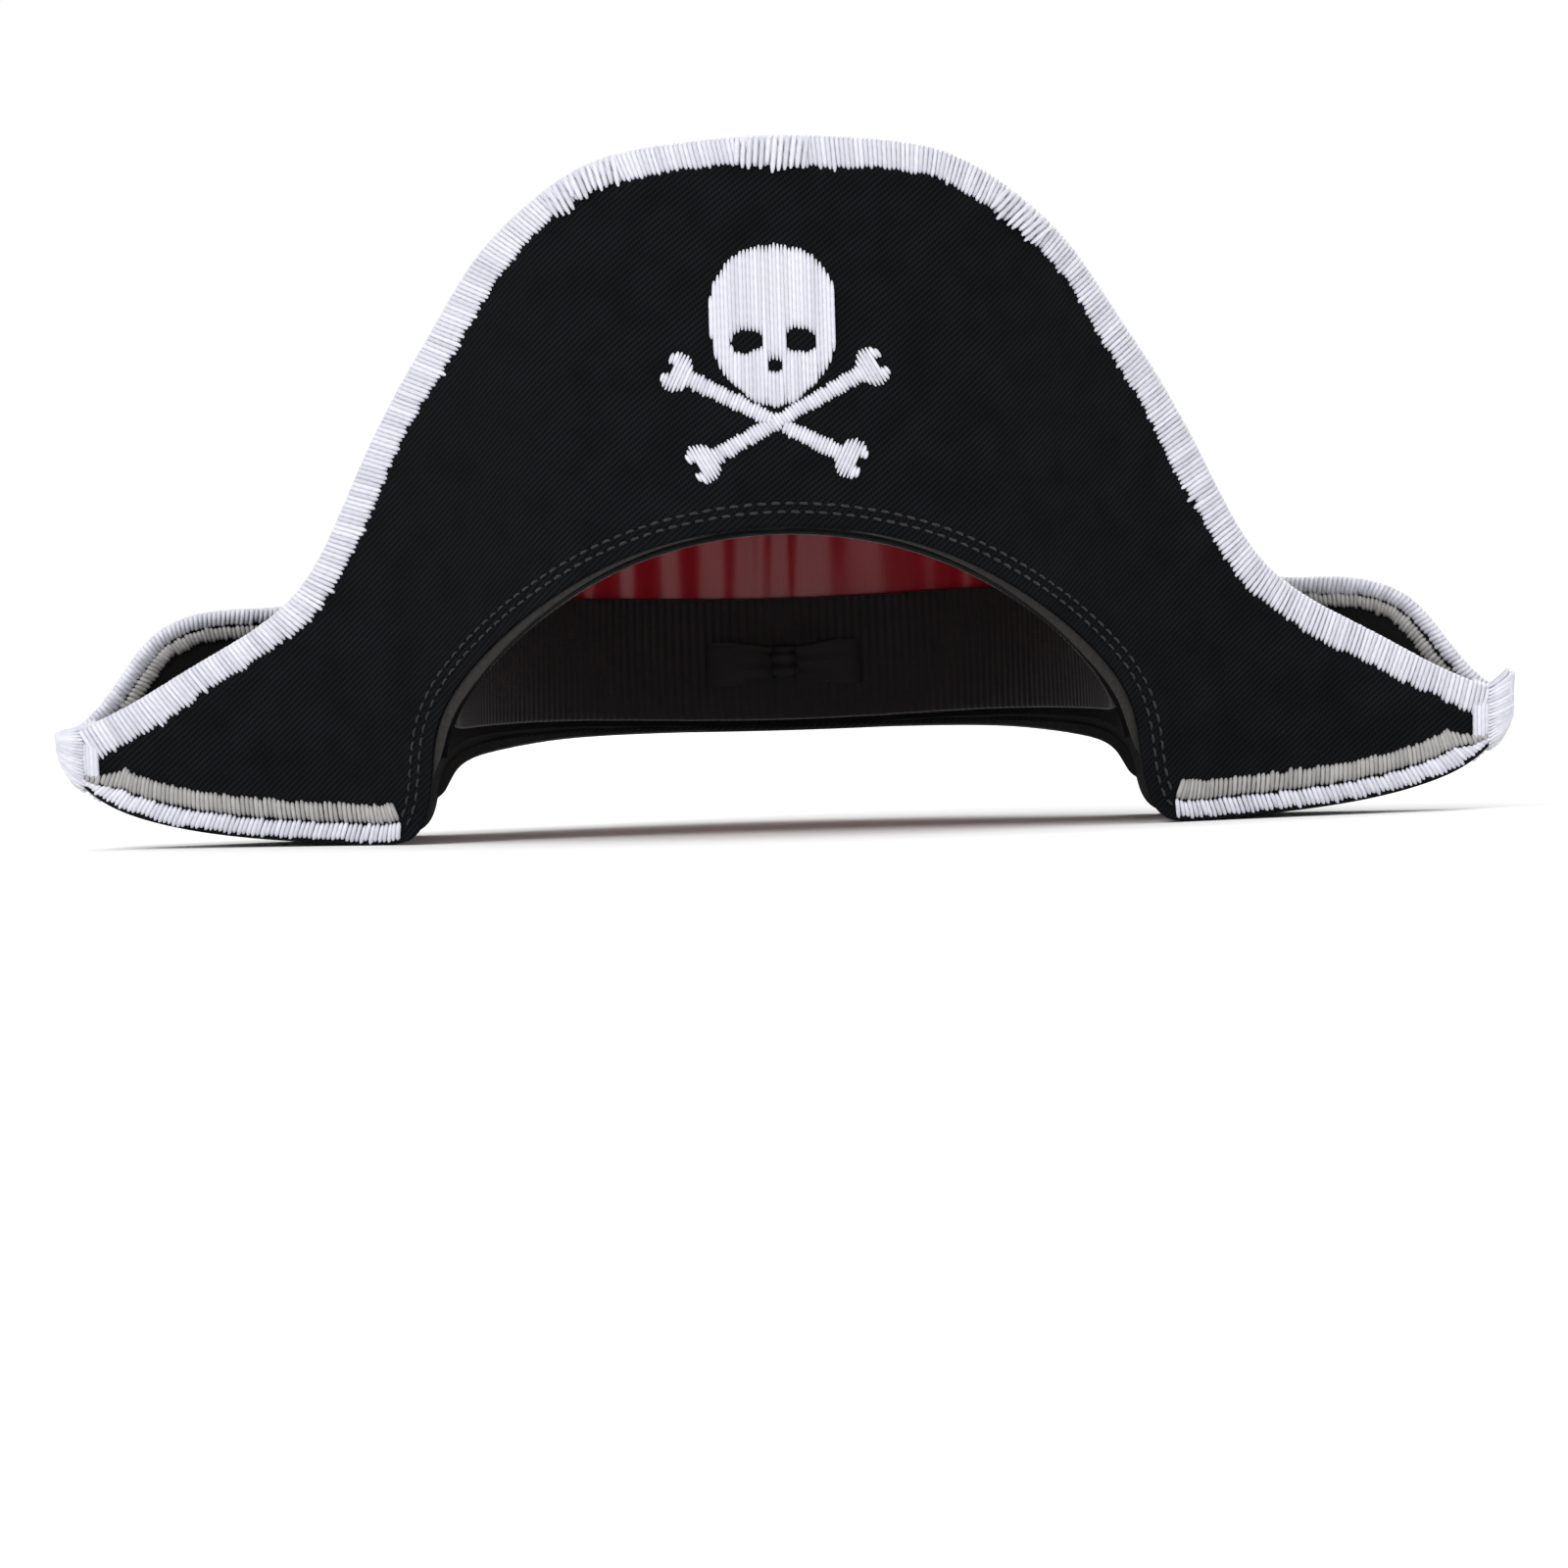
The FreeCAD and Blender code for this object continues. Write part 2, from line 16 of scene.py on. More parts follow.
import bpy
import numpy as np
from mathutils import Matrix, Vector


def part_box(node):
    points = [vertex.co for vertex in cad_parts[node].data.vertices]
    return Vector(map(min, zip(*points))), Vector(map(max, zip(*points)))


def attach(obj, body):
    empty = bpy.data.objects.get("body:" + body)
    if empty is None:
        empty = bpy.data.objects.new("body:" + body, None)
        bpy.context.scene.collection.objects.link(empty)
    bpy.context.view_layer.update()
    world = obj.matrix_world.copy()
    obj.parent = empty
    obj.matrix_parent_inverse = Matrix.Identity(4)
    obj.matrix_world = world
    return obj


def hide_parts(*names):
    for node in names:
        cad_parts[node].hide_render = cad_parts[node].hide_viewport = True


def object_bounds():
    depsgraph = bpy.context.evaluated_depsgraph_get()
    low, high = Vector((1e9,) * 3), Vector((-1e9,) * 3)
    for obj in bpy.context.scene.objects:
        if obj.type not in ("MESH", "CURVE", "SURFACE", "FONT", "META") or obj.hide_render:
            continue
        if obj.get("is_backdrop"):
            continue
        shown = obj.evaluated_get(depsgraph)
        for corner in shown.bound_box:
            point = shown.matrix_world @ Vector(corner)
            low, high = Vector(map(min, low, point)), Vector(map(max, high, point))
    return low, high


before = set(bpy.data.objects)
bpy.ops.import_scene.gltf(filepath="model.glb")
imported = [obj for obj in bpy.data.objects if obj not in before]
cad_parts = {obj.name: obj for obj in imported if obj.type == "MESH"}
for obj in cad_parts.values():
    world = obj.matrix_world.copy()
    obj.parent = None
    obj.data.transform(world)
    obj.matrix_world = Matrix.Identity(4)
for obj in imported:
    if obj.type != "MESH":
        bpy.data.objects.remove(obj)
cad_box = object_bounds()
MM = 0.001
print("CAD box, mm:", [[round(v / MM, 1) for v in corner] for corner in cad_box])

# %% [markdown]
# ## Sizes that come from the frame
#
# A hat maker starts from a few measures: the span from tip to tip, the height of the two panels
# and the oval of the head. They are read from the frame, all but the oval's length. That one is
# typed, because the crown's box is longest at a bulge low down at the nape. The oval's width does
# come from that box, so it counts the bulge, and the crown and the arch are a few mm wider here.

# %% Read the driving measures


def reach(node, corner, axis):
    """One coordinate of a CAD node's box, in mm. corner is 0 for the lowest, 1 for the highest."""
    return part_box(node)[corner][axis] / MM


HALF_SPAN = reach("front_panel_face", 1, 0)
FRONT_RISE = reach("front_panel_face", 1, 2)
BACK_RISE = reach("back_panel_face", 1, 2)
HEAD_HALF_WIDTH = reach("crown_side_right", 1, 0)
HEAD_HALF_LENGTH = 106.0
CROWN_RISE = reach("crown_tip", 1, 2)
TIP_SEAM = reach("crown_tip", 0, 2)
print("half span", HALF_SPAN, "front", FRONT_RISE, "back", BACK_RISE)
print("crown", HEAD_HALF_WIDTH, CROWN_RISE, "seam at", TIP_SEAM)

# %% [markdown]
# ## Smooth lines through a few points
#
# A pattern cutter marks a few points and bends a flexible ruler through them. A natural cubic
# spline is that ruler. It is solved once for each outline and then only looked up.

# %% The flexible ruler


def bend_through(points, count=3000):
    """A natural cubic spline through 2-D points, as count points along it."""
    points = np.asarray(points, float)
    step = np.linalg.norm(np.diff(points, axis=0), axis=1)
    at = np.concatenate([[0], np.cumsum(step)])
    n = len(points)
    system, right = np.eye(n), np.zeros((n, 2))
    for i in range(1, n - 1):
        before, after = step[i - 1], step[i]
        system[i, i - 1: i + 2] = before, 2 * (before + after), after
        right[i] = 6 * ((points[i + 1] - points[i]) / after - (points[i] - points[i - 1]) / before)
    bend = np.linalg.solve(system, right)
    t = np.linspace(0, at[-1], count)
    k = np.clip(np.searchsorted(at, t) - 1, 0, n - 2)
    h = step[k][:, None]
    left, rest = (t - at[k])[:, None], (at[k + 1] - t)[:, None]
    return (bend[k] * rest**3 + bend[k + 1] * left**3) / (6 * h) + (
        points[k] / h - bend[k] * h / 6) * rest + (points[k + 1] / h - bend[k + 1] * h / 6) * left


def both_sides(half):
    """A half outline, middle first, mirrored into one line from tip to tip."""
    return [(-x, z) for x, z in reversed(half) if x > 0] + list(half)


def along(line):
    """Distance travelled along a line of points."""
    return np.concatenate([[0], np.cumsum(np.linalg.norm(np.diff(line, axis=0), axis=1))])


def looked_up(at, far, line):
    """The line's points at some of the distances along it."""
    return np.stack([np.interp(at, far, column) for column in line.T], axis=-1)


def unit(arrows):
    """Arrows of length one."""
    return arrows / (np.linalg.norm(arrows, axis=-1, keepdims=True) + 1e-9)


def slope(degrees):
    return math.cos(math.radians(degrees)), math.sin(math.radians(degrees))


def squared_off(wave, power):
    """A wave that keeps its sign while a power under one makes its corners fuller."""
    return np.sign(wave) * np.abs(wave) ** power


# %% [markdown]
# ## The outlines of the two panels
#
# The front panel is bell shaped: a round top, steep shoulders, then long low tips. The back panel
# is lower and keeps its height further out, so its shoulders show behind the tips. The lower edge
# lies flat beside the head, rises to the tips, and arches over the forehead.

# %% Outlines as shares of the measures
FRONT_TOP = [
    (0.000, 1.000), (0.132, 0.992), (0.237, 0.970), (0.321, 0.917), (0.395, 0.842),
    (0.453, 0.750), (0.516, 0.642), (0.571, 0.531), (0.621, 0.422), (0.658, 0.364),
    (0.716, 0.311), (0.805, 0.257), (0.900, 0.200), (1.000, 0.153),
]
BACK_TOP = [
    (0.000, 1.000), (0.132, 0.966), (0.290, 0.853), (0.447, 0.678), (0.579, 0.560),
    (0.695, 0.517), (0.800, 0.510), (0.858, 0.474), (0.905, 0.388), (0.958, 0.284),
    (1.000, 0.237),
]
SIDE_LOW = [
    (1.000, 1.000), (0.979, 0.690), (0.947, 0.472), (0.879, 0.262), (0.763, 0.102), (0.605, 0.011),
]
ARCH = [
    (1.148, 0.000), (1.080, 0.022), (1.037, 0.106), (1.017, 0.248), (0.990, 0.460),
    (0.864, 0.680), (0.682, 0.825), (0.455, 0.932), (0.227, 0.984), (0.000, 1.000),
]
TIP_RISE = 27.5
ARCH_RISE = 80.5
NAPE_SHARE = 0.3

top_front = bend_through([(x * HALF_SPAN, z * FRONT_RISE) for x, z in both_sides(FRONT_TOP)])
top_back = bend_through([(x * HALF_SPAN, z * BACK_RISE) for x, z in both_sides(BACK_TOP)])


def lower_half(arch_share):
    side = [(x * HALF_SPAN, z * TIP_RISE) for x, z in SIDE_LOW]
    arch = [(x * HEAD_HALF_WIDTH, z * ARCH_RISE * arch_share) for x, z in ARCH]
    return list(reversed(side + arch))


low_front = bend_through(both_sides(lower_half(1.0)))
low_nape = bend_through(both_sides(lower_half(NAPE_SHARE)))
print("front edge", round(along(top_front)[-1]), "mm long, lower edge", round(along(low_front)[-1]), "mm")

# %% [markdown]
# ## Where a panel stands
#
# Seen from above, a panel bows round the crown and then curves the other way out to the tip. Two
# arcs that meet smoothly draw that. Moving both arcs by the same offset gives the cloth's inner
# and outer faces, so every layer and every thread can be placed by three numbers: x, z and how far
# out from the panel's inner face it lies. The panel leans in a little towards its top.

# %% The plan of a panel as a formula
PANEL_DEPTH, BOW, FLANK, TIP_HALF_GAP = 110.0, 92.0, 250.0, 1.7
LEAN, LEAN_HEIGHT = 0.05, 180.0
BACKING, STIFFENER, FACE = 1.0, 1.8, 1.2
PANEL = BACKING + STIFFENER + FACE

bow_centre = BOW - PANEL_DEPTH
tip = (HALF_SPAN, -TIP_HALF_GAP - bow_centre)
tip_far, both = math.hypot(*tip), BOW + FLANK
past_join = math.acos((tip_far**2 + both**2 - FLANK**2) / (2 * both * tip_far))
join_angle = math.atan2(tip[0], -tip[1]) - past_join
flank_centre = (both * math.sin(join_angle), bow_centre - both * math.cos(join_angle))


def plan_depth(x, out):
    """y of the front panel's plan line at x, moved out from its inner face."""
    x = np.abs(x)
    bow, flank = BOW + out, FLANK - out
    on_bow = bow_centre - np.sqrt(np.maximum(bow**2 - x**2, 0))
    on_flank = flank_centre[1] + np.sqrt(np.maximum(flank**2 - (x - flank_centre[0]) ** 2, 0))
    return np.where(x <= bow * math.sin(join_angle), on_bow, on_flank)


def on_panel(x, z, out, side):
    """Points on a panel. side is 1 for the front panel and -1 for the back one."""
    x, z, out = np.broadcast_arrays(np.asarray(x, float), z, out)
    y = plan_depth(x, out) * (1 - LEAN * z / LEAN_HEIGHT)
    return np.stack([x, side * y, z], axis=-1)


def low_edge(x, y):
    """Height of the brim's lower edge: a high arch at the forehead, a low one at the nape."""
    share = 1 - (1 - NAPE_SHARE) / (2 * PANEL_DEPTH) * (np.asarray(y) + PANEL_DEPTH)
    high = np.interp(x, low_front[:, 0], low_front[:, 1])
    low = np.interp(x, low_nape[:, 0], low_nape[:, 1])
    return low + (high - low) * (share - NAPE_SHARE) / (1 - NAPE_SHARE)


print("the bow turns into the flank at x =", round(BOW * math.sin(join_angle), 1))

# %% [markdown]
# ## From points to a piece
#
# Blender can make a mesh from lists of points and faces. Numpy arrays go in much faster than
# Python lists, and a hat with more than two thousand threads needs that. The helper also gives the piece its
# finish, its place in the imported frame, and a random shade for each thread.

# %% Make a mesh piece from arrays


def sewn_piece(name, points, faces, finish, slot, stands_for=(), flat=None, shade=None, crease=40):
    """A mesh piece from points in mm. faces is a list of index arrays, flat the cloth's own
    coordinates in mm at each corner, shade one number a point, crease the angle that stays sharp."""
    mesh = bpy.data.meshes.new(name)
    mesh.vertices.add(len(points))
    mesh.vertices.foreach_set("co", (points * MM).astype(np.float32).ravel())
    corners = np.concatenate([f.ravel() for f in faces]).astype(np.int32)
    sizes = np.concatenate([np.full(len(f), f.shape[1]) for f in faces])
    mesh.loops.add(len(corners))
    mesh.loops.foreach_set("vertex_index", corners)
    mesh.polygons.add(len(sizes))
    mesh.polygons.foreach_set("loop_start", (np.cumsum(sizes) - sizes).astype(np.int32))
    mesh.update(calc_edges=True)
    mesh.validate()
    if flat is not None:
        layer = mesh.uv_layers.new(name="cloth")
        layer.data.foreach_set("uv", np.asarray(flat, np.float32).ravel())
    if shade is not None:
        tone = mesh.attributes.new("shade", "FLOAT", "POINT")
        tone.data.foreach_set("value", np.asarray(shade, np.float32))
    mesh.polygons.foreach_set("use_smooth", np.ones(len(sizes), bool))
    mesh.set_sharp_from_angle(angle=math.radians(crease))
    mesh.materials.append(finish)
    piece = bpy.data.objects.new(name, mesh)
    bpy.context.scene.collection.objects.link(piece)
    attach(piece, "root")
    if stands_for:
        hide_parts(*stands_for)
    print(f"{name}: {len(points)} points, {len(sizes)} faces")
    return piece


def numbered(rows):
    """The number of each point in rows of points (row, column, 3)."""
    return np.arange(rows.shape[0] * rows.shape[1]).reshape(rows.shape[:2])


def quads(index):
    """Four-cornered faces between neighbours in a grid of point numbers."""
    corners = [index[:-1, :-1], index[:-1, 1:], index[1:, 1:], index[1:, :-1]]
    return np.stack(corners, axis=-1).reshape(-1, 4)


def round_quads(index):
    """The same for rows that close on themselves, so the last column meets the first."""
    return quads(np.concatenate([index, index[:, :1]], axis=1))


def loop_of_rows(rows):
    """Rows of points whose last row meets the first: cloth with thickness."""
    index = numbered(rows)
    sides = quads(np.concatenate([index, index[:1]]))
    return rows.reshape(-1, 3), [sides, index[:, 0][None], index[:, -1][None, ::-1]]


def facing(faces, side):
    """Faces turned over for the back panel, which is the front one mirrored."""
    return faces if side > 0 else [f[:, ::-1] for f in faces]


def at_corners(values, faces):
    """Values known at points, repeated at every corner of every face."""
    return values[np.concatenate([f.ravel() for f in faces])]


def run_and_height(run, rows, faces, lift=0):
    """Flat cloth coordinates: the distance run along each row, and the height."""
    flat = np.stack([np.broadcast_to(run, rows.shape[:2]), rows[:, :, 2] + lift], axis=-1)
    return at_corners(flat.reshape(-1, 2), faces)


# %% [markdown]
# ## A small kit for finishes
#
# Each finish is one Principled shader with nodes that drive its colour and bump. A number that is
# the same all over, such as the roughness, is typed on the shader itself.

# %% The finish kit


def new_finish(name, **settings):
    finish = bpy.data.materials.new(name)
    finish.use_nodes = True
    shader = finish.node_tree.nodes["Principled BSDF"]
    for socket, value in settings.items():
        shader.inputs[socket.replace("_", " ")].default_value = value
    return finish, shader


def node(finish, kind, settings=(), **inputs):
    """A node of that kind. inputs are numbers or sockets, settings the node's own choices."""
    made = finish.node_tree.nodes.new(kind)
    for key, value in dict(settings).items():
        setattr(made, key, value)
    for key, value in inputs.items():
        key = int(key[1:]) if key[0] == "_" else key.replace("_", " ")
        if isinstance(value, bpy.types.NodeSocket):
            finish.node_tree.links.new(value, made.inputs[key])
        else:
            made.inputs[key].default_value = value
    return made


def link(finish, source, target):
    finish.node_tree.links.new(source, target)


def sums(finish, kind, a, b):
    return node(finish, "ShaderNodeMath", {"operation": kind}, _0=a, _1=b).outputs[0]


def two_tone(finish, amount, dark, light):
    """Colour that runs from dark to light as amount goes from 0 to 1."""
    ramp = node(finish, "ShaderNodeValToRGB", Fac=amount)
    ramp.color_ramp.elements[0].color = (*dark, 1)
    ramp.color_ramp.elements[1].color = (*light, 1)
    return ramp.outputs["Color"]


def colour(finish, shader, amount, dark, light):
    link(finish, two_tone(finish, amount, dark, light), shader.inputs["Base Color"])


def mix_of(finish, first, first_part, second, second_part):
    """Two patterns added up, each by its part."""
    return sums(finish, "ADD", sums(finish, "MULTIPLY", first, first_part),
                sums(finish, "MULTIPLY", second, second_part))


def raise_bump(finish, shader, height, depth, strength=1.0):
    """Bump whose full height is depth millimetres."""
    bump = node(finish, "ShaderNodeBump", Strength=strength, Distance=depth * MM, Height=height)
    link(finish, bump.outputs["Normal"], shader.inputs["Normal"])


def noise(finish, where, scale, detail=2.0):
    return node(finish, "ShaderNodeTexNoise", Vector=where, Scale=scale, Detail=detail).outputs["Fac"]


def cloth_place(finish, turn=0.0, scale=(1, 1, 1)):
    """Position on the flat cloth, in mm, turned by that many degrees."""
    flat = node(finish, "ShaderNodeUVMap", {"uv_map": "cloth"}).outputs["UV"]
    mapped = node(finish, "ShaderNodeMapping", Vector=flat, Scale=scale)
    mapped.inputs["Rotation"].default_value[2] = math.radians(turn)
    return mapped.outputs["Vector"]


def room_place(finish):
    """Position in the hat's frame, in mm, for cloth with no direction, such as felt."""
    spot = node(finish, "ShaderNodeTexCoord").outputs["Object"]
    return node(finish, "ShaderNodeMapping", Vector=spot, Scale=(1 / MM,) * 3).outputs["Vector"]


def ribs(finish, where, pitch, wobble=0.6):
    """Parallel ridges, pitch mm apart, from 0 to 1."""
    return node(
        finish, "ShaderNodeTexWave", {"wave_type": "BANDS", "bands_direction": "X", "wave_profile": "SIN"},
        Vector=where, Scale=2 * math.pi / 20 / pitch, Distortion=wobble, Detail=1.0, Detail_Scale=0.8,
    ).outputs["Fac"]


# %% [markdown]
# ## Black twill
#
# The panels are cotton twill: fine ridges run diagonally, because each thread passes over two and
# under one, a step further along in every row. A diagonal wave gives the ridges, a second wave
# across it breaks them into floats, and a soft noise makes the dye a little uneven. The colour also
# follows the ridge height, so the grooves are darker: painted shade between the ridges.

# %% Twill finish


def black_twill_finish():
    finish, shader = new_finish("black_twill", Roughness=0.85, Specular_IOR_Level=0.04)
    ridge = ribs(finish, cloth_place(finish, 52), 1.25)
    float_ends = ribs(finish, cloth_place(finish, -20), 0.9, wobble=0.9)
    height = mix_of(finish, ridge, 0.7, float_ends, 0.3)
    dye = noise(finish, cloth_place(finish), 0.09)
    # Colour follows the ridge height, so the grooves are darker: painted shade, times the dye's uneven tone.
    tone = sums(finish, "MULTIPLY", height, sums(finish, "ADD", dye, 0.35))
    colour(finish, shader, tone, (0.0012, 0.0014, 0.0018), (0.0085, 0.0090, 0.0105))
    raise_bump(finish, shader, height, 0.16)
    return finish


# %% [markdown]
# ## Embroidery thread
#
# Rayon thread is two plies twisted together. Its colour is a little darker at its ends than along
# its length. The mesh carries a number called shade for every thread, so neighbours differ
# slightly, as they do when light catches each at its own angle.

# %% Thread finish


def thread_finish(name, dark, light, roughness=0.42):
    finish, shader = new_finish(name, Roughness=roughness, Specular_IOR_Level=0.35,
                                Sheen_Weight=0.15, Sheen_Roughness=0.4)
    shade = node(finish, "ShaderNodeAttribute", {"attribute_name": "shade"}).outputs["Fac"]
    fuzz = noise(finish, cloth_place(finish, 0, (0.25, 6.0, 1.0)), 1.5, 3.0)
    tone = mix_of(finish, shade, 0.75, fuzz, 0.25)
    colour(finish, shader, tone, dark, light)
    place = node(finish, "ShaderNodeSeparateXYZ", Vector=cloth_place(finish))
    twist = sums(finish, "ADD", sums(finish, "DIVIDE", place.outputs["X"], 2.6),
                 sums(finish, "MULTIPLY", place.outputs["Y"], 2.0))
    ply = sums(finish, "SINE", sums(finish, "MULTIPLY", twist, 2 * math.pi), 0.0)
    height = mix_of(finish, ply, 0.5, fuzz, 0.8)
    raise_bump(finish, shader, height, 0.09, 0.8)
    return finish


# %% [markdown]
# ## Felt, satin, ribbon and the hidden stiffening
#
# Wool felt has no weave: short fibres lie every way, so two sizes of noise are enough. Satin
# lining is smooth and shines in soft streaks, because its long floats all run one way; an
# anisotropic highlight does that. Grosgrain ribbon has real ribs in its mesh and only a fine
# thread bump, whose height also darkens the colour between the threads as painted shade. Buckram
# is open gauze stiffened with size, and the edge wire is plain steel.

# %% Felt, satin, grosgrain, buckram and wire finishes


def black_felt_finish():
    finish, shader = new_finish("black_felt", Roughness=0.95, Specular_IOR_Level=0.05,
                                Sheen_Weight=0.015, Sheen_Roughness=0.6)
    place = room_place(finish)
    fibres, lumps = noise(finish, place, 1.9, 5.0), noise(finish, place, 0.16, 2.0)
    tone = mix_of(finish, fibres, 0.7, lumps, 0.3)
    colour(finish, shader, tone, (0.0018, 0.0018, 0.0021), (0.0115, 0.0112, 0.0120))
    raise_bump(finish, shader, fibres, 0.35)
    return finish


def red_satin_finish():
    finish, shader = new_finish("red_satin", Roughness=0.34, Specular_IOR_Level=0.5, Anisotropic=0.55,
                                Sheen_Weight=0.12, Sheen_Roughness=0.3)
    floats = noise(finish, cloth_place(finish, 0, (3.0, 0.12, 1.0)), 1.0, 3.0)
    cloud = noise(finish, cloth_place(finish), 0.03, 2.0)
    tone = mix_of(finish, floats, 0.5, cloud, 0.5)
    colour(finish, shader, tone, (0.26, 0.004, 0.012), (0.56, 0.012, 0.030))
    raise_bump(finish, shader, floats, 0.05, 0.6)
    return finish


def grosgrain_finish():
    finish, shader = new_finish("grosgrain", Roughness=0.62, Specular_IOR_Level=0.35,
                                Sheen_Weight=0.10, Sheen_Roughness=0.35)
    yarn = ribs(finish, cloth_place(finish, 90), 0.45, 0.4)
    worn = noise(finish, cloth_place(finish), 0.12)
    # Colour follows the fine rib height, so the grooves are darker: painted shade, times an uneven tone.
    tone = sums(finish, "MULTIPLY", yarn, worn)
    colour(finish, shader, tone, (0.004, 0.004, 0.0045), (0.022, 0.021, 0.022))
    raise_bump(finish, shader, yarn, 0.06, 0.7)
    return finish


def buckram_finish():
    finish, shader = new_finish("buckram", Roughness=0.9, Specular_IOR_Level=0.2)
    size = noise(finish, room_place(finish), 0.8, 3.0)
    colour(finish, shader, size, (0.010, 0.010, 0.010), (0.034, 0.032, 0.030))
    raise_bump(finish, shader, size, 0.3)
    return finish


def edge_wire_finish():
    finish, shader = new_finish("edge_wire", Metallic=1.0)
    drawn = noise(finish, room_place(finish), 0.9, 2.0)
    colour(finish, shader, drawn, (0.32, 0.32, 0.33), (0.55, 0.55, 0.56))
    polish = sums(finish, "ADD", sums(finish, "MULTIPLY", drawn, 0.2), 0.25)
    link(finish, polish, shader.inputs["Roughness"])
    return finish


TWILL = black_twill_finish()
FELT = black_felt_finish()
SATIN = red_satin_finish()
GROSGRAIN = grosgrain_finish()
WHITE_THREAD = thread_finish("white_thread", (0.43, 0.43, 0.49), (0.66, 0.66, 0.73))
# Grey thread is a darker copy of the white: painted shade, used for the rows beside white ones.
PAINTED_SHADE_THREAD = thread_finish("grey_thread", (0.20, 0.195, 0.19), (0.37, 0.36, 0.35))
BLACK_THREAD = thread_finish("black_thread", (0.003, 0.003, 0.004), (0.012, 0.012, 0.014), 0.6)


def give(finish, *cad_nodes):
    """A better finish for CAD pieces that stay as they are."""
    for name in cad_nodes:
        cad_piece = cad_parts[name]
        cad_piece.data.materials.clear()
        cad_piece.data.materials.append(finish)


give(buckram_finish(), "front_panel_stiffener", "back_panel_stiffener")
give(edge_wire_finish(), "front_edge_wire", "back_edge_wire")
print("finishes:", sorted(m.name for m in bpy.data.materials if m.users))

# %% [markdown]
# ## Stations along an edge
#
# Nearly everything on this hat is sewn along an edge: borders, rows, hems and topstitching. So the
# edges are turned into stations: evenly spaced points, each with the direction along the edge and
# the direction away from it.

# %% Edges and stations


def lower_edge(side, out=PANEL):
    """The brim's lower edge on that face of a panel, as a line of x and z."""
    line = low_front if side > 0 else low_nape
    x, z = line[:, 0], line[:, 1]
    for _ in range(2):
        z = low_edge(x, on_panel(x, z, out, side)[:, 1])
    return np.stack([x, z], axis=-1)


def stations(line, spacing, first=-HALF_SPAN, last=HALF_SPAN):
    """Points about spacing mm apart on the line, from x = first to last, their directions along
    the line, and their directions upwards from it."""
    line = line[(line[:, 0] >= first) & (line[:, 0] <= last)]
    far = along(line)
    at = np.linspace(0, far[-1], max(2, round(far[-1] / spacing)))
    points = looked_up(at, far, line)
    run = unit(np.gradient(points, axis=0))
    return points, run, np.stack([-run[:, 1], run[:, 0]], axis=-1)


def top_height(x, side):
    line = top_front if side > 0 else top_back
    return np.interp(x, line[:, 0], line[:, 1])


BORDER = 8.4
PANELS = (("front", 1), ("back", -1))
HANDS = (("left", -1), ("right", 1))
chance = np.random.default_rng(1718)

# %% [markdown]
# ## Cloth that isn't flat
#
# Twill pulled over buckram never lies dead flat. It swells a little between its seams, and the
# tight border draws small puckers in it. The swell is a formula of x and z, so the cloth and
# everything embroidered on it follow the same surface.

# %% The swell of the cloth


def swell(x, z, side):
    """How far the outer cloth stands out from its flat place, in mm."""
    slow = 0.34 * np.sin(x / 27 + 0.8 * side) * np.sin(z / 33 + 0.5)
    slow = slow + 0.26 * np.sin(x / 47 - z / 29 + side) + 0.16 * np.sin(x / 13 + z / 19 + 2 * side)
    below = np.maximum(top_height(x, side) - z - BORDER, 0)
    drawn = 0.20 * np.exp(-below / 7) * np.sin(x / 1.15 + 1.7 * np.sin(x / 9.0))
    return (slow + drawn) * np.clip((HALF_SPAN - np.abs(x)) / 20, 0, 1)


# %% [markdown]
# ## Panel faces with a turned hem
#
# Each face is one piece of twill. It covers the outside, turns under the lower edge and is caught
# on the inside, so the layers between don't show. The mesh is a closed loop of rows: up the outside,
# over the top, down inside, and round the hem. Rows near the edge follow the edge's own normal.

# %% Panel faces and backings
HEM = [(6.5, -0.55), (3.0, -0.58), (1.0, -0.5), (0.3, -0.2), (-0.05, 0.6), (-0.2, 2.0),
       (-0.05, 3.3), (0.3, 3.86)]
HEM_INSIDE = [(0.45, 2.8), (0.3, 2.0), (0.3, 0.9), (0.55, 0.05), (1.1, 0.0), (6.4, 0.0)]
COLUMN = 1.25
PANEL_END = HALF_SPAN - 1.0


def columns_of(side, out):
    """Where the cloth's columns start: points on the lower edge, and the way up from it."""
    points, _, up = stations(lower_edge(side, out), COLUMN, -PANEL_END, PANEL_END)
    return points, up


def hem_row(side, distance, out):
    """A row of the cloth at that distance from the lower edge, measured square to it."""
    points, up = columns_of(side, out)
    points = points + up * distance
    return on_panel(points[:, 0], points[:, 1], out, side)


def wall_row(side, share, out, swollen=False):
    """A row at that share of the way from the lower edge to the top edge."""
    points, _ = columns_of(side, out)
    x = points[:, 0]
    z = points[:, 1] + 0.6 + (top_height(x, side) - points[:, 1] - 0.6) * share
    return on_panel(x, z, out + (swell(x, z, side) if swollen else 0), side)


def same_columns(rows):
    """Rows of nearly the same length, cut to the same number of points."""
    count = min(len(r) for r in rows)
    picks = [np.round(np.linspace(0, len(r) - 1, count)).astype(int) for r in rows]
    return np.stack([r[p] for r, p in zip(rows, picks)])


def cloth_corners(rows, faces, side):
    """Flat cloth coordinates: distance along the panel and height."""
    run = np.linalg.norm(np.diff(rows[:, :, :2], axis=1), axis=2)
    flat_x = np.concatenate([np.zeros((len(rows), 1)), np.cumsum(run, axis=1)], axis=1)
    flat_x -= flat_x[:, -1:] / 2
    return run_and_height(flat_x, rows, faces, 40 * side)


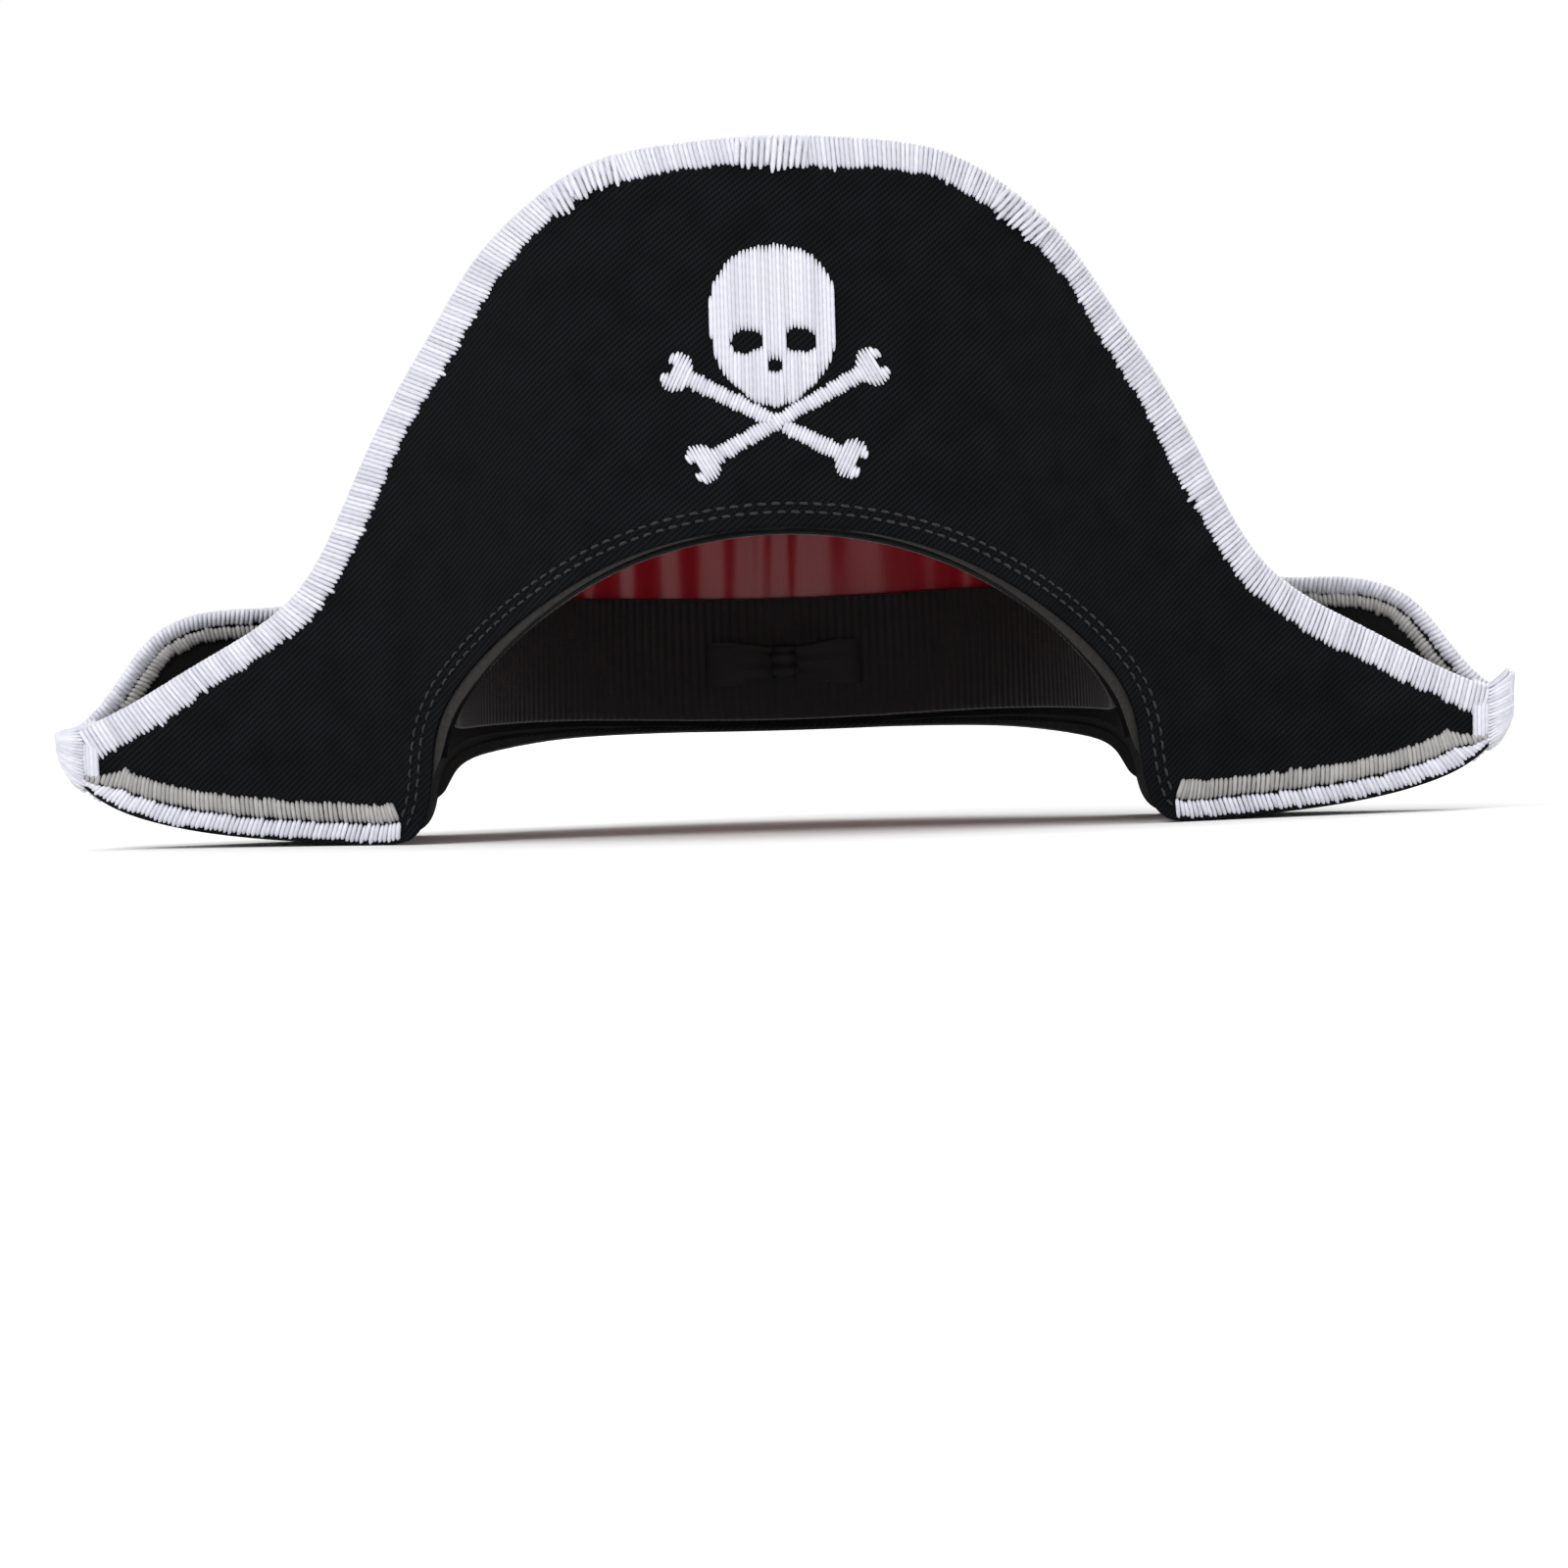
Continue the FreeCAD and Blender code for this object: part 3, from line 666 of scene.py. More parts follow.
def panel_face(word, side):
    shares = np.linspace(0.005, 1, 76)
    outside = [wall_row(side, s, PANEL, True) for s in shares]
    inside = [wall_row(side, s, BACKING + STIFFENER) for s in shares[::-6]]
    rows = [hem_row(side, *h) for h in HEM] + outside + inside + [hem_row(side, *h) for h in HEM_INSIDE]
    rows = same_columns(rows)
    points, faces = loop_of_rows(rows)
    faces = facing(faces, side)
    return sewn_piece(f"{word}_twill_face", points, faces, TWILL, "black_twill",
                      [f"{word}_panel_face"], cloth_corners(rows, faces, side))


def panel_backing(word, side):
    shares = np.linspace(0.0, 1, 40)
    outer = [wall_row(side, s, BACKING - 0.02) for s in shares[::5]]
    rows = same_columns(outer + [wall_row(side, s, 0.0) for s in shares[::-1]])
    points, faces = loop_of_rows(rows)
    faces = facing(faces, side)
    return sewn_piece(f"{word}_felt_backing", points, faces, FELT, "black_felt",
                      [f"{word}_panel_backing"], cloth_corners(rows, faces, side))


for word, side in PANELS:
    panel_face(word, side)
    panel_backing(word, side)

# %% [markdown]
# ## A bundle of threads as one mesh
#
# Satin stitch is a row of parallel threads pulled tight across a shape, each one touching the next.
# Curves with a bevel would need one spline a thread; a single mesh of tubes is lighter and lets each
# thread carry its own shade. A tube is a ring of points repeated along the thread's path, thinner
# where the thread dives into the cloth.

# %% Threads as tubes
THREAD = 0.70
RING = 6


def thread_piece(name, paths, beside, finish, slot, stands_for=(), thick=THREAD, flatten=0.86):
    """Tubes along paths (thread, point, 3). beside is the direction to each thread's neighbour."""
    count, points_each, _ = paths.shape
    run = unit(np.gradient(paths, axis=1))
    side = np.broadcast_to(beside[:, None], paths.shape)
    side = unit(side - run * np.sum(side * run, axis=2, keepdims=True))
    lift = np.cross(run, side)
    turn = 2 * math.pi * np.arange(RING) / RING
    taper = np.ones(points_each)
    taper[[0, -1]] = 0.45
    taper[[1, -2]] = 0.88
    width = thick * taper[None] * chance.normal(1, 0.05, (count, 1)).clip(0.85, 1.15)
    ring = (side[:, :, None] * np.cos(turn)[:, None] + lift[:, :, None] * np.sin(turn)[:, None] * flatten)
    points = paths[:, :, None] + ring * width[:, :, None, None]
    index = np.arange(points[..., 0].size).reshape(count, points_each, RING)
    near, far = index[:, :-1], index[:, 1:]
    walls = np.stack([near, np.roll(near, -1, 2), np.roll(far, -1, 2), far], axis=-1)
    far_along = np.array([along(path) for path in paths]) + chance.uniform(0, 50, (count, 1))
    spin = np.arange(RING + 1) / RING
    u = np.broadcast_to(far_along[:, :, None], points.shape[:3])
    corner_u = np.stack([u[:, :-1], u[:, :-1], u[:, 1:], u[:, 1:]], axis=-1)
    around = np.stack([spin[:-1], spin[1:], spin[1:], spin[:-1]], axis=-1)
    corner_v = np.broadcast_to(around, corner_u.shape)
    wall_flat = np.stack([corner_u, corner_v], axis=-1).reshape(-1, 2)
    ends = [index[:, 0, ::-1], index[:, -1]]
    end_flat = np.zeros((count * RING * 2, 2))
    # Each thread gets a random shade, and its colour is a little darker towards both ends.
    tone = chance.uniform(0.25, 1.0, (count, 1, 1)) - 0.25 * (1 - taper[None, :, None])
    shade = np.broadcast_to(tone, points.shape[:3]).ravel()
    return sewn_piece(name, points.reshape(-1, 3), [walls.reshape(-1, 4)] + ends, finish, slot, stands_for,
                      np.concatenate([wall_flat, end_flat]), shade, crease=75)


def panel_threads(name, flat_paths, side, finish, slot, stands_for=(), **how):
    """Threads whose paths are given on a panel as x, z and out (thread, point, 3)."""
    x, z, out = (flat_paths[..., k] for k in range(3))
    paths = on_panel(x, z, out + swell(x, z, side) * np.clip((out - BACKING) / 2, 0, 1), side)
    beside = unit(np.gradient(paths[:, paths.shape[1] // 2], axis=0))
    return thread_piece(name, paths, beside, finish, slot, stands_for, **how)


# %% [markdown]
# ## The border over the top edge
#
# The border is satin stitch that wraps the edge: each thread starts on the outer face, goes up and
# over the edge, and comes down inside. The path is drawn once as a list of distances below the edge
# and distances out from the panel's inner face, then repeated at every station. Stitch length varies
# a little, as hand-guided work does, and each thread leans, because the needle moves on while the
# thread crosses.

# %% A stitch over the edge
PITCH = 1.22
BORDER_END = 184.0


def over_edge(line, deep, lean=0.9, jag=0.30, lift=0.0, first=-BORDER_END, last=BORDER_END,
              spacing=PITCH, flare=0.0):
    """Flat paths of threads that wrap an edge, from deep mm below it outside to deep mm inside.
    flare is the share by which they are longer towards the tips."""
    points, run, up = stations(line, spacing, first, last)
    count = len(points)
    x = points[:, 0]
    drift = flare * np.clip((np.abs(x) - 115) / 50, 0, 1)
    drift = drift + 0.09 * np.sin(x / 17 + 0.6) + 0.06 * np.sin(x / 7.3) + 0.04 * np.sin(x / 2.9 + 2)
    outside = chance.normal(deep * (1 + drift), jag, count)
    inside = chance.normal(deep * (1 + drift), jag, count)
    leg = np.linspace(0, 1, 9)
    round_top = np.linspace(0, math.pi, 9)[1:-1]
    middle, half = PANEL / 2, PANEL / 2 + 0.55 + lift
    dome = 0.75 * np.sin(math.pi * np.clip(leg * 0.62 + 0.06, 0, 1)) + lift
    below = np.concatenate([
        outside[:, None] * (1 - leg), np.tile(-1.0 * np.sin(round_top) - 0.15, (count, 1)),
        inside[:, None] * leg], axis=1)
    out = np.concatenate([PANEL - 0.35 + dome * 1.25 + 0.2 * leg, middle + half * np.cos(round_top),
                          0.35 - dome[::-1] * 1.25 - 0.2 * leg[::-1]])
    share = (below / deep).clip(-0.2, 1.2)
    shift = lean * np.where(np.arange(below.shape[1]) < 12, share, -share)
    place = points[:, None] - up[:, None] * below[..., None] + run[:, None] * shift[..., None]
    return np.concatenate([place, np.broadcast_to(out, below.shape)[..., None]], axis=-1)


front_border = over_edge(top_front, BORDER - 2.5, flare=0.16)
panel_threads("front_border", front_border, 1, WHITE_THREAD, "white_thread", ["front_edge_border"])

# %% [markdown]
# ## Where two runs of the border meet
#
# A long border is sewn in several runs. Where one ends, the next starts over it, so the border is
# thicker and rougher for the width of a finger. Three short second layers show that.

# %% Overlaps in the border
for number, (first, last) in enumerate(((-58, -40), (-8, 10), (61, 72))):
    again = over_edge(top_front, BORDER - 0.8, lean=-0.8, jag=0.8, lift=0.55,
                      first=first, last=last, spacing=1.5)
    panel_threads(f"front_border_overlap_{number}", again[:, 1:-1], 1, WHITE_THREAD, "white_thread")

# %% [markdown]
# ## The back panel's double border
#
# The back panel has a narrow white row over its edge and a grey row beside it, on both faces. The
# grey row is painted shade: grey thread standing for the shaded side of the border. It doesn't
# wrap the edge, so its threads are short bridges that start and end in the cloth.

# %% Rows of satin between two lines
ROW = 5.2
BACK_ROW = 3.6


def bridge(lower, upper, face_out, lean=0.0, rise=0.95, jag=0.22, bend=9):
    """Flat paths of threads from points on one line to points on another. face_out is the cloth's
    surface, and rise is how far the thread stands off it, with the sign that points away."""
    count = len(lower)
    t = np.linspace(0, 1, bend)[None, :, None]
    span = upper - lower
    length = np.linalg.norm(span, axis=1, keepdims=True) + 1e-9
    start = lower - span / length * chance.normal(0, jag, (count, 1))
    end = upper + span / length * chance.normal(0, jag, (count, 1))
    beside = np.stack([-span[:, 1], span[:, 0]], axis=-1) / length
    place = start[:, None] + (end - start)[:, None] * t + beside[:, None] * lean * (t - 0.5)
    arc = np.sin(math.pi * t[0, :, 0]) ** 0.45
    out = face_out + np.sign(rise) * -0.25 + rise * arc
    return np.concatenate([place, np.broadcast_to(out, (count, bend))[..., None]], axis=-1)


panel_threads("back_border", over_edge(top_back, BACK_ROW - 0.8, lean=0.5, jag=0.2), -1,
              WHITE_THREAD, "white_thread", ["back_edge_border"])
points, run, up = stations(top_back, PITCH, -BORDER_END + 1, BORDER_END - 1)
# The grey rows are painted shade: grey thread for the shaded side of the back border.
for word, face_out, rise in (("outside", PANEL, 0.95), ("inside", 0.0, -0.95)):
    lines = bridge(points - up * (2 * BACK_ROW - 0.9), points - up * (BACK_ROW - 0.7), face_out, 0.5, rise)
    panel_threads(f"back_grey_row_{word}", lines, -1, PAINTED_SHADE_THREAD, "grey_thread", ["back_edge_grey_row"])

# %% [markdown]
# ## Rows along the lower edge
#
# Beside the head opening the lower edge carries two rows: white at the very edge, grey above it.
# The grey row is painted shade: grey thread standing for the shaded upper half of the binding.
# They run out to the tip and get narrower where the panel does, so the width of each row is taken
# from the room that is left under the border.

# %% Lower rows
ROW_START, ROW_END = 101.0, 185.5


def lower_rows(word, side, hand, sign):
    first, last = sorted((sign * ROW_START, sign * ROW_END))
    points, run, up = stations(lower_edge(side), PITCH, first, last)
    room = top_height(points[:, 0], side) - points[:, 1] - BORDER * 1.2
    width = ROW * np.clip(room / (2.1 * ROW), 0.06, 1)[:, None]
    white = bridge(points + up * 0.75, points + up * (width + 0.1), PANEL, sign * 1.2)
    panel_threads(f"{word}_white_row_{hand}", white, side, WHITE_THREAD, "white_thread",
                  [f"{word}_lower_row_{hand}"])
    if side > 0:
        # The grey row above the white one is painted shade on the upper half of the binding.
        grey = bridge(points + up * (width + 0.3), points + up * (2 * width), PANEL, sign * -1.0)
        panel_threads(f"{word}_grey_row_{hand}", grey, side, PAINTED_SHADE_THREAD, "grey_thread",
                      [f"{word}_lower_grey_row_{hand}"])


for word, side in PANELS:
    for hand, sign in HANDS:
        lower_rows(word, side, hand, sign)

# %% [markdown]
# ## The wrapped tips
#
# At each tip the two panels are bound together. First loops stand side by side round both panels,
# like the whipping at a rope's end, and go on past the panels in smaller and smaller loops. Then
# threads laid the other way run from the front panel round the point to the back panel, close to
# each other. The right tip ends in a short spur, where the last of them are pulled up.

# %% Tip wraps
WRAP_START, COVER_START, TIP_X = 180.6, 184.0, 190.6
LOOP_PITCH = 1.04
TIP_MIDDLE, TIP_HALF = 26.8, 3.0
cover_deep = abs(float(plan_depth(COVER_START, PANEL))) + 1.5
cover_low, cover_high = float(low_edge(COVER_START, -4.0)), float(top_height(COVER_START, 1))


def tip_height(level, near_end, spur):
    """Height in the wrap. level is -1 at the bottom and 1 at the top; near_end is 1 at the point."""
    start = (cover_low + cover_high) / 2 + level * ((cover_high - cover_low) / 2 + 0.6)
    end = TIP_MIDDLE + level * TIP_HALF + spur * max(0, level - 0.1) ** 1.2
    return start + (end - start) * near_end ** 1.3


def tip_reach(across):
    """Distance from the hat's middle, and nearness to the point, by share of the way across."""
    x = COVER_START + (TIP_X - COVER_START) * (1 - np.abs(across) ** 2.6) ** 0.5
    return x, np.sqrt(1 - np.abs(across) ** 2)


def upright_loop(sign, x, deep, low, high, square):
    """A loop with rounded corners round the brim's tip; a smaller square makes them tighter."""
    turn = np.linspace(0, 2 * math.pi, 33)
    y = deep * squared_off(np.cos(turn), square)
    rise = (high - low) / 2 * squared_off(np.sin(turn), square)
    return np.stack([sign * (x + 0.4 * np.sin(turn)), y, (low + high) / 2 + rise], axis=-1)


def tip_loops(sign, spur):
    """Upright loops, first round both panels and then round the thread of the point."""
    loops = []
    for x in np.arange(WRAP_START, COVER_START + LOOP_PITCH, LOOP_PITCH):
        low, high = float(low_edge(x, -4.0)) - 0.8, float(top_height(x, 1)) + 1.8
        loops.append(upright_loop(sign, x, abs(float(plan_depth(x, PANEL))) + 0.8, low, high, 0.75))
    for across in np.sqrt(1 - np.linspace(0.08, 0.98, 15) ** 2):
        x, near_end = tip_reach(across)
        low = tip_height(-1.0, near_end, spur) - 1.0 * (1 - near_end)
        high = tip_height(1.0, near_end, spur) + 0.4 + 1.0 * (1 - near_end)
        loops.append(upright_loop(sign, x, cover_deep * across**0.55 - 0.6, low, high, 0.6))
    return np.array(loops)


def tip_cover(sign, spur):
    """Threads from the front panel round the tip to the back panel, from bottom to top."""
    across = np.linspace(-1, 1, 41)
    x, near_end = tip_reach(across)
    covers = []
    for level in np.linspace(-1.12, 1.12, 19):
        round_off = math.sqrt(1 - (abs(level) / 1.3) ** 2.5)
        deep = cover_deep * (0.55 + 0.45 * round_off)
        y = deep * squared_off(across, 0.55)
        pull = chance.normal(0, 0.10) - (1 - round_off) * 1.6 * near_end
        covers.append(np.stack([sign * (x + pull), y, tip_height(level, near_end, spur)], axis=-1))
    return np.array(covers)


for hand, sign, spur in (("left", -1, 0.0), ("right", 1, 5.6)):
    loops = tip_loops(sign, spur)
    thread_piece(f"tip_whipping_{hand}", loops, np.tile([float(sign), 0.0, 0.0], (len(loops), 1)),
                 WHITE_THREAD, "white_thread", [f"tip_wrap_{hand}"], thick=0.72)
    covers = tip_cover(sign, spur)
    thread_piece(f"tip_point_{hand}", covers, np.tile([0.0, 0.0, 1.0], (len(covers), 1)),
                 WHITE_THREAD, "white_thread", thick=0.70)

# %% [markdown]
# ## The badge
#
# The badge is a plain skull over crossed bones. The skull is fill stitch: long upright threads, each
# as long as the shape is high there, with the eyes and nose left open. The bones are satin stitch
# across each bone, with a knuckle of two round knobs at both ends.

# %% Skull in fill stitch
BADGE_MIDDLE = 133.0
SKULL_HALF_WIDTH = 16.4
SKULL = [
    (0, 20.8), (0.52, 18.6), (0.88, 12.4), (1.0, 4.6), (0.98, -3.4),
    (0.92, -8.8), (0.78, -13.4), (0.51, -17.6), (0.27, -20.8), (0, -21.6),
]
EYES = [(-7.0, -4.6, 4.1, 2.9, 14), (7.0, -4.6, 4.1, 2.9, -14)]
NOSE = (0, -11.0, 1.7, 1.6, 0)
FILL_PITCH = 0.98


def hole_span(x, hole):
    """Bottom and top of an oval hole at x, or nothing beside it."""
    hole_x, hole_z, wide, high, tilt = hole
    angle = np.linspace(0, 2 * math.pi, 361)
    c, s = slope(tilt)
    px, pz = wide * np.cos(angle), high * np.sin(angle)
    px, pz = hole_x + px * c - pz * s, hole_z + px * s + pz * c
    near = np.abs(px - x) < 0.12
    return (pz[near].min(), pz[near].max()) if near.any() else None


def skull_columns():
    outline = bend_through([(x * SKULL_HALF_WIDTH, z) for x, z in SKULL])
    widest = outline[:, 0].max()
    for x in np.arange(-widest + 0.45, widest - 0.3, FILL_PITCH):
        inside = outline[outline[:, 0] >= abs(x)]
        bottom, top = inside[:, 1].min(), inside[:, 1].max()
        cuts = sorted(filter(None, (hole_span(x, hole) for hole in EYES + [NOSE])))
        starts = [bottom] + [high for _, high in cuts]
        stops = [low for low, _ in cuts] + [top]
        for low, high in zip(starts, stops):
            if high - low > 1.2:
                yield x, low, high


def badge_threads(name, flat_paths, beside, node_name, thick):
    """Threads of the badge, which lie on the front panel and follow its swell."""
    x, z, out = (flat_paths[..., k] for k in range(3))
    thread_piece(name, on_panel(x, z, out + swell(x, z, 1), 1), np.tile(beside, (len(flat_paths), 1)),
                 WHITE_THREAD, "white_thread", [node_name], thick=thick)


column, low, high = np.array(list(skull_columns())).T
chin_end, crown_end = (np.stack([column, z + BADGE_MIDDLE], axis=-1) for z in (low, high))
skull = bridge(chin_end, crown_end, PANEL, 0.0, 1.15, 0.22, 15)
badge_threads("badge_skull_fill", skull, [1.0, 0.0, 0.0], "badge_skull", 0.62)

# %% Bones in satin stitch
BONE_CROSSING = 107.5
BONE_TILT, BONE_HALF, BONE_RAISED = 28.0, 25.0, 3.5


def bone_threads(tilt, height, skip):
    """Threads across a bone from end to end: half-width by place along the bone."""
    at = np.arange(-BONE_HALF - 3.0, BONE_HALF + 3.2, 0.95)
    knob = np.sqrt(np.maximum(0, 3.3**2 - (np.abs(at) - BONE_HALF - 0.2) ** 2))
    half = np.maximum(2.0 + 0.35 * (np.abs(at) / BONE_HALF) ** 2, np.where(knob > 0, knob + 2.2, 0))
    half = np.where(np.abs(at) > BONE_HALF + 1.6, knob + 2.2, half)
    c, s = slope(tilt)
    spans = []
    for a, h in zip(at, half):
        forked = abs(a) > BONE_HALF + 1.9
        spans += [(a, -h, -1.3), (a, 1.3, h)] if forked else [(a, -h, h)]
    a, low, high = np.array(spans).T
    a = a + math.copysign(BONE_RAISED, tilt)
    clear = np.abs(a) >= skip
    lower, upper = (np.stack([a * c - edge * s, a * s + edge * c + BONE_CROSSING], axis=-1)[clear]
                    for edge in (low, high))
    return bridge(lower, upper, PANEL, 0.3, height, 0.2, 7)


for word, tilt, height, skip in (("upper", BONE_TILT, 1.15, 0.0), ("lower", -BONE_TILT, 0.95, 2.0)):
    c, s = slope(tilt)
    bone_run = [c, 0.0, s]
    bone = bone_threads(tilt, height, skip)
    badge_threads(f"badge_bone_{word}_satin", bone, bone_run, f"badge_bone_{word}", 0.56)

# %% [markdown]
# ## The felt crown
#
# Inside the brim sits a plain felt dome. It is cut as a left and a right side, seamed at the front
# and back, with an oval tip on top. Its outline comes from one profile: how much of the base oval
# is left at each height. Walking that profile round the oval gives the felt's outer face, and the
# same walk further in gives the lining and the sweatband.

# %% The dome
MEAN_RADIUS = 97.0
SEAM_RADIUS = 80.0
SEAM_OVERLAP = 0.0005
CROWN_PROFILE = [(-0.060, 1.000), (0.350, 0.996), (0.620, 0.972), (0.810, 0.915), (0.925, 0.780),
                 (0.985, 0.560), (1.000, 0.400)]
FELT_THICK, LINING_THICK = 2.2, 0.6
profile = bend_through([(h * CROWN_RISE, r * HEAD_HALF_LENGTH) for h, r in CROWN_PROFILE])
seam_at = np.searchsorted(profile[:, 0], TIP_SEAM)
soft = np.random.default_rng(7).uniform(0, 2 * math.pi, 6)


def on_crown(angle, z, left, inset):
    """Points on the dome. left is how much of the base oval is left at that height."""
    return np.stack(np.broadcast_arrays((HEAD_HALF_WIDTH - inset) * left * np.sin(angle),
                                        -(HEAD_HALF_LENGTH - inset) * left * np.cos(angle), z), axis=-1)


def left_at(z, inset):
    """How much of the base oval is left at that height, for a dome further in by inset."""
    height = z * CROWN_RISE / (CROWN_RISE - inset)
    return np.interp(height, profile[:, 0], profile[:, 1]) / HEAD_HALF_LENGTH


def crown_base(angle, inset, lift=0.0):
    """Height of the lower edge at that angle: where the dome meets the brim's arch."""
    z = np.full_like(angle, 30.0)
    for _ in range(30):
        spot = on_crown(angle, z, left_at(z, inset), inset)
        z = 0.5 * z + 0.5 * low_edge(spot[:, 0], spot[:, 1])
    return z + lift


def felt_dent(angle, z):
    """Felt that has been handled: shallow dents, in mm."""
    return (0.7 * np.sin(2 * angle + z / 31 + soft[0]) + 0.45 * np.sin(3 * angle - z / 17 + soft[1])
            + 0.25 * np.sin(7 * angle + z / 12 + soft[2]))


def seam_dip(distance, deep=0.9, wide=1.4):
    """How deep the cloth is drawn in at that distance from a seam."""
    return deep * np.exp(-(distance / wide) ** 2)


def half_round(count):
    """Angles round one side of the dome, and how far each is from the front or back seam, in mm."""
    angle = np.linspace(-SEAM_OVERLAP, math.pi + SEAM_OVERLAP, count)
    return angle, np.maximum(np.minimum(angle, math.pi - angle), 0) * SEAM_RADIUS


# %% [markdown]
# The two sides are closed shells with rows up the outside and down the inside. Close to a seam the
# felt turns in, which is what makes a seam read as a seam: a dark valley with a soft roll beside it.

# %% Crown sides


def crown_side(hand, sign):
    angle, from_seam = half_round(190)
    base = crown_base(angle, 0.0)
    rows = []
    for share in np.linspace(0, 1, 56):
        z = base + (TIP_SEAM - base) * share
        out = felt_dent(sign * angle, z) * min(1, share * 6) - seam_dip(from_seam)
        out = out - seam_dip(TIP_SEAM - z, 0.7, 1.8)
        rows.append(on_crown(sign * angle, z, left_at(z, 0) + out / MEAN_RADIUS, 0.0))
    for share in np.linspace(1, 0, 14):
        z = base + (TIP_SEAM - base) * share
        rows.append(on_crown(sign * angle, z, left_at(z, FELT_THICK), FELT_THICK))
    points, faces = loop_of_rows(np.array(rows))
    return sewn_piece(f"crown_felt_{hand}", points, facing(faces, sign), FELT, "black_felt",
                      [f"crown_side_{hand}"])


for hand, sign in HANDS:
    crown_side(hand, sign)

# %% Crown tip


def capped_dome(rows):
    """Rows of closed rings from the rim to the middle outside, then from the middle to the rim."""
    index, half = numbered(rows), len(rows) // 2
    outside, inside = round_quads(index[:half]), round_quads(index[half:])
    rim = np.stack([index[-1], np.roll(index[-1], -1), np.roll(index[0], -1), index[0]], axis=-1)
    return rows.reshape(-1, 3), [outside, inside, rim, index[half - 1][None], index[half][None, ::-1]]


def dome_rows(angle, inset, relief, count=46):
    """Rings over the top of the dome, with a relief in mm that depends on angle and share."""
    rest = profile[seam_at:]
    far = along(rest)
    at = np.linspace(0, far[-1], count - 14)
    z, left = np.interp(at, far, rest[:, 0]), np.interp(at, far, rest[:, 1]) / HEAD_HALF_LENGTH
    crown_of = np.linspace(1, 0.02, 15)[1:]
    z = np.concatenate([z, CROWN_RISE + 0.9 * (1 - crown_of**2)])
    left = np.concatenate([left, left[-1] * crown_of])
    rings = []
    for k, (height, share) in enumerate(zip(z, left)):
        out = relief(angle, k / (count - 1))
        rings.append(on_crown(angle, height * (CROWN_RISE - inset) / CROWN_RISE + out * 0.6,
                              share + out / MEAN_RADIUS, inset))
    return rings


def tip_dent(angle, share):
    return felt_dent(angle, TIP_SEAM + 30 * share) * (1 - share) - seam_dip(share, 0.9, 0.03)


angle = np.linspace(0, 2 * math.pi, 361)[:-1]
outer = dome_rows(angle, 0.0, tip_dent)
inner = dome_rows(angle, FELT_THICK, lambda angle, share: 0 * angle)
points, faces = capped_dome(np.array(outer + inner[::-1]))
sewn_piece("crown_felt_tip", points, faces, FELT, "black_felt", ["crown_tip"])

# %% [markdown]
# ## Corded piping in the crown seam
#
# The seam between sides and tip is finished with a twisted cord. Three strands wind round a common
# centre line; a whole number of turns makes the cord close on itself.

# %% Twisted piping
STRAND, TURNS = 0.82, 84
walk = np.linspace(0, 2 * math.pi, 2200)
ring_left = float(left_at(np.array(TIP_SEAM), 0.0))
middle = on_crown(walk, TIP_SEAM, ring_left, 0.4)
outward = np.stack([np.sin(walk), -np.cos(walk), 0 * walk], axis=-1)
upward = np.array([0.0, 0.0, 1.0])
winds = [TURNS * walk[:, None] + k * 2 * math.pi / 3 for k in range(3)]
strands = np.array([middle + 0.78 * (outward * np.cos(wind) + upward * np.sin(wind)) for wind in winds])
thread_piece("crown_cord_piping", strands, np.tile(upward, (3, 1)), BLACK_THREAD, "black_felt",
             ["crown_piping"], thick=STRAND, flatten=1.0)

# %% [markdown]
# ## The gathered satin lining
#
# The lining is cut longer round than the crown and gathered into the tip seam, so it hangs in soft
# upright folds that deepen towards the top. The folds come from one wave whose width and depth drift
# as it goes round, because hand gathers are never even.

# %% Lining
FOLDS = 44
LINING_INSET = FELT_THICK + 0.12
SATIN_THICK = 0.3


def gathers(angle, share):
    """How far the satin hangs in from the felt, in mm."""
    drift = FOLDS * angle + 1.3 * np.sin(5 * angle + soft[3])
    drift = drift + 0.9 * np.sin(9 * angle + 2.0 * share + soft[4])
    depth = 0.75 + 0.35 * np.sin(4 * angle + soft[5]) + 0.25 * np.sin(11 * angle)
    wave = (0.5 + 0.5 * np.sin(drift)) ** 1.4
    side_fold = 0.35 * np.sin(2.2 * drift + 3 * share) * share
    return (0.25 + 3.0 * max(share - 0.15, 0) ** 0.8) * depth * wave + side_fold * 0.4 + 0.1


def lining_side(hand, sign):
    angle, from_seam = half_round(620)
    base = crown_base(angle, LINING_INSET, 4.0)

    def row(share, thick):
        z = base + (TIP_SEAM - 1.2 - base) * share
        deep = gathers(sign * angle, share) * np.clip(from_seam / 3, 0.15, 1)
        left = left_at(z, LINING_INSET) - (deep + thick) / MEAN_RADIUS
        return on_crown(sign * angle, z, left, LINING_INSET)

    shares = np.linspace(1, 0, 44)
    inside = [row(share, SATIN_THICK) for share in shares]
    rows = np.array(inside + [row(share, 0) for share in shares[::-1]])
    points, faces = loop_of_rows(rows)
    faces = facing(faces, sign)
    return sewn_piece(f"satin_lining_{hand}", points, faces, SATIN, "red_satin", [f"lining_side_{hand}"],
                      run_and_height(angle * MEAN_RADIUS, rows, faces))


for hand, sign in HANDS:
    lining_side(hand, sign)


def tip_gathers(angle, share):
    return -(gathers(angle, 1 - share) * (1 - share) ** 1.2 + 0.15)


angle = np.linspace(0, 2 * math.pi, 901)[:-1]
under_face = dome_rows(angle, LINING_INSET + SATIN_THICK, tip_gathers)
upper_face = dome_rows(angle, LINING_INSET, tip_gathers)
points, faces = capped_dome(np.array(upper_face + under_face[::-1]))
ring_run, ring_gap = np.meshgrid(angle * 60, np.arange(len(upper_face + under_face)) * 1.6)
flat = np.stack([ring_run.ravel(), ring_gap.ravel()], axis=-1)
sewn_piece("satin_lining_tip", points, faces, SATIN, "red_satin", ["lining_tip"], at_corners(flat, faces))

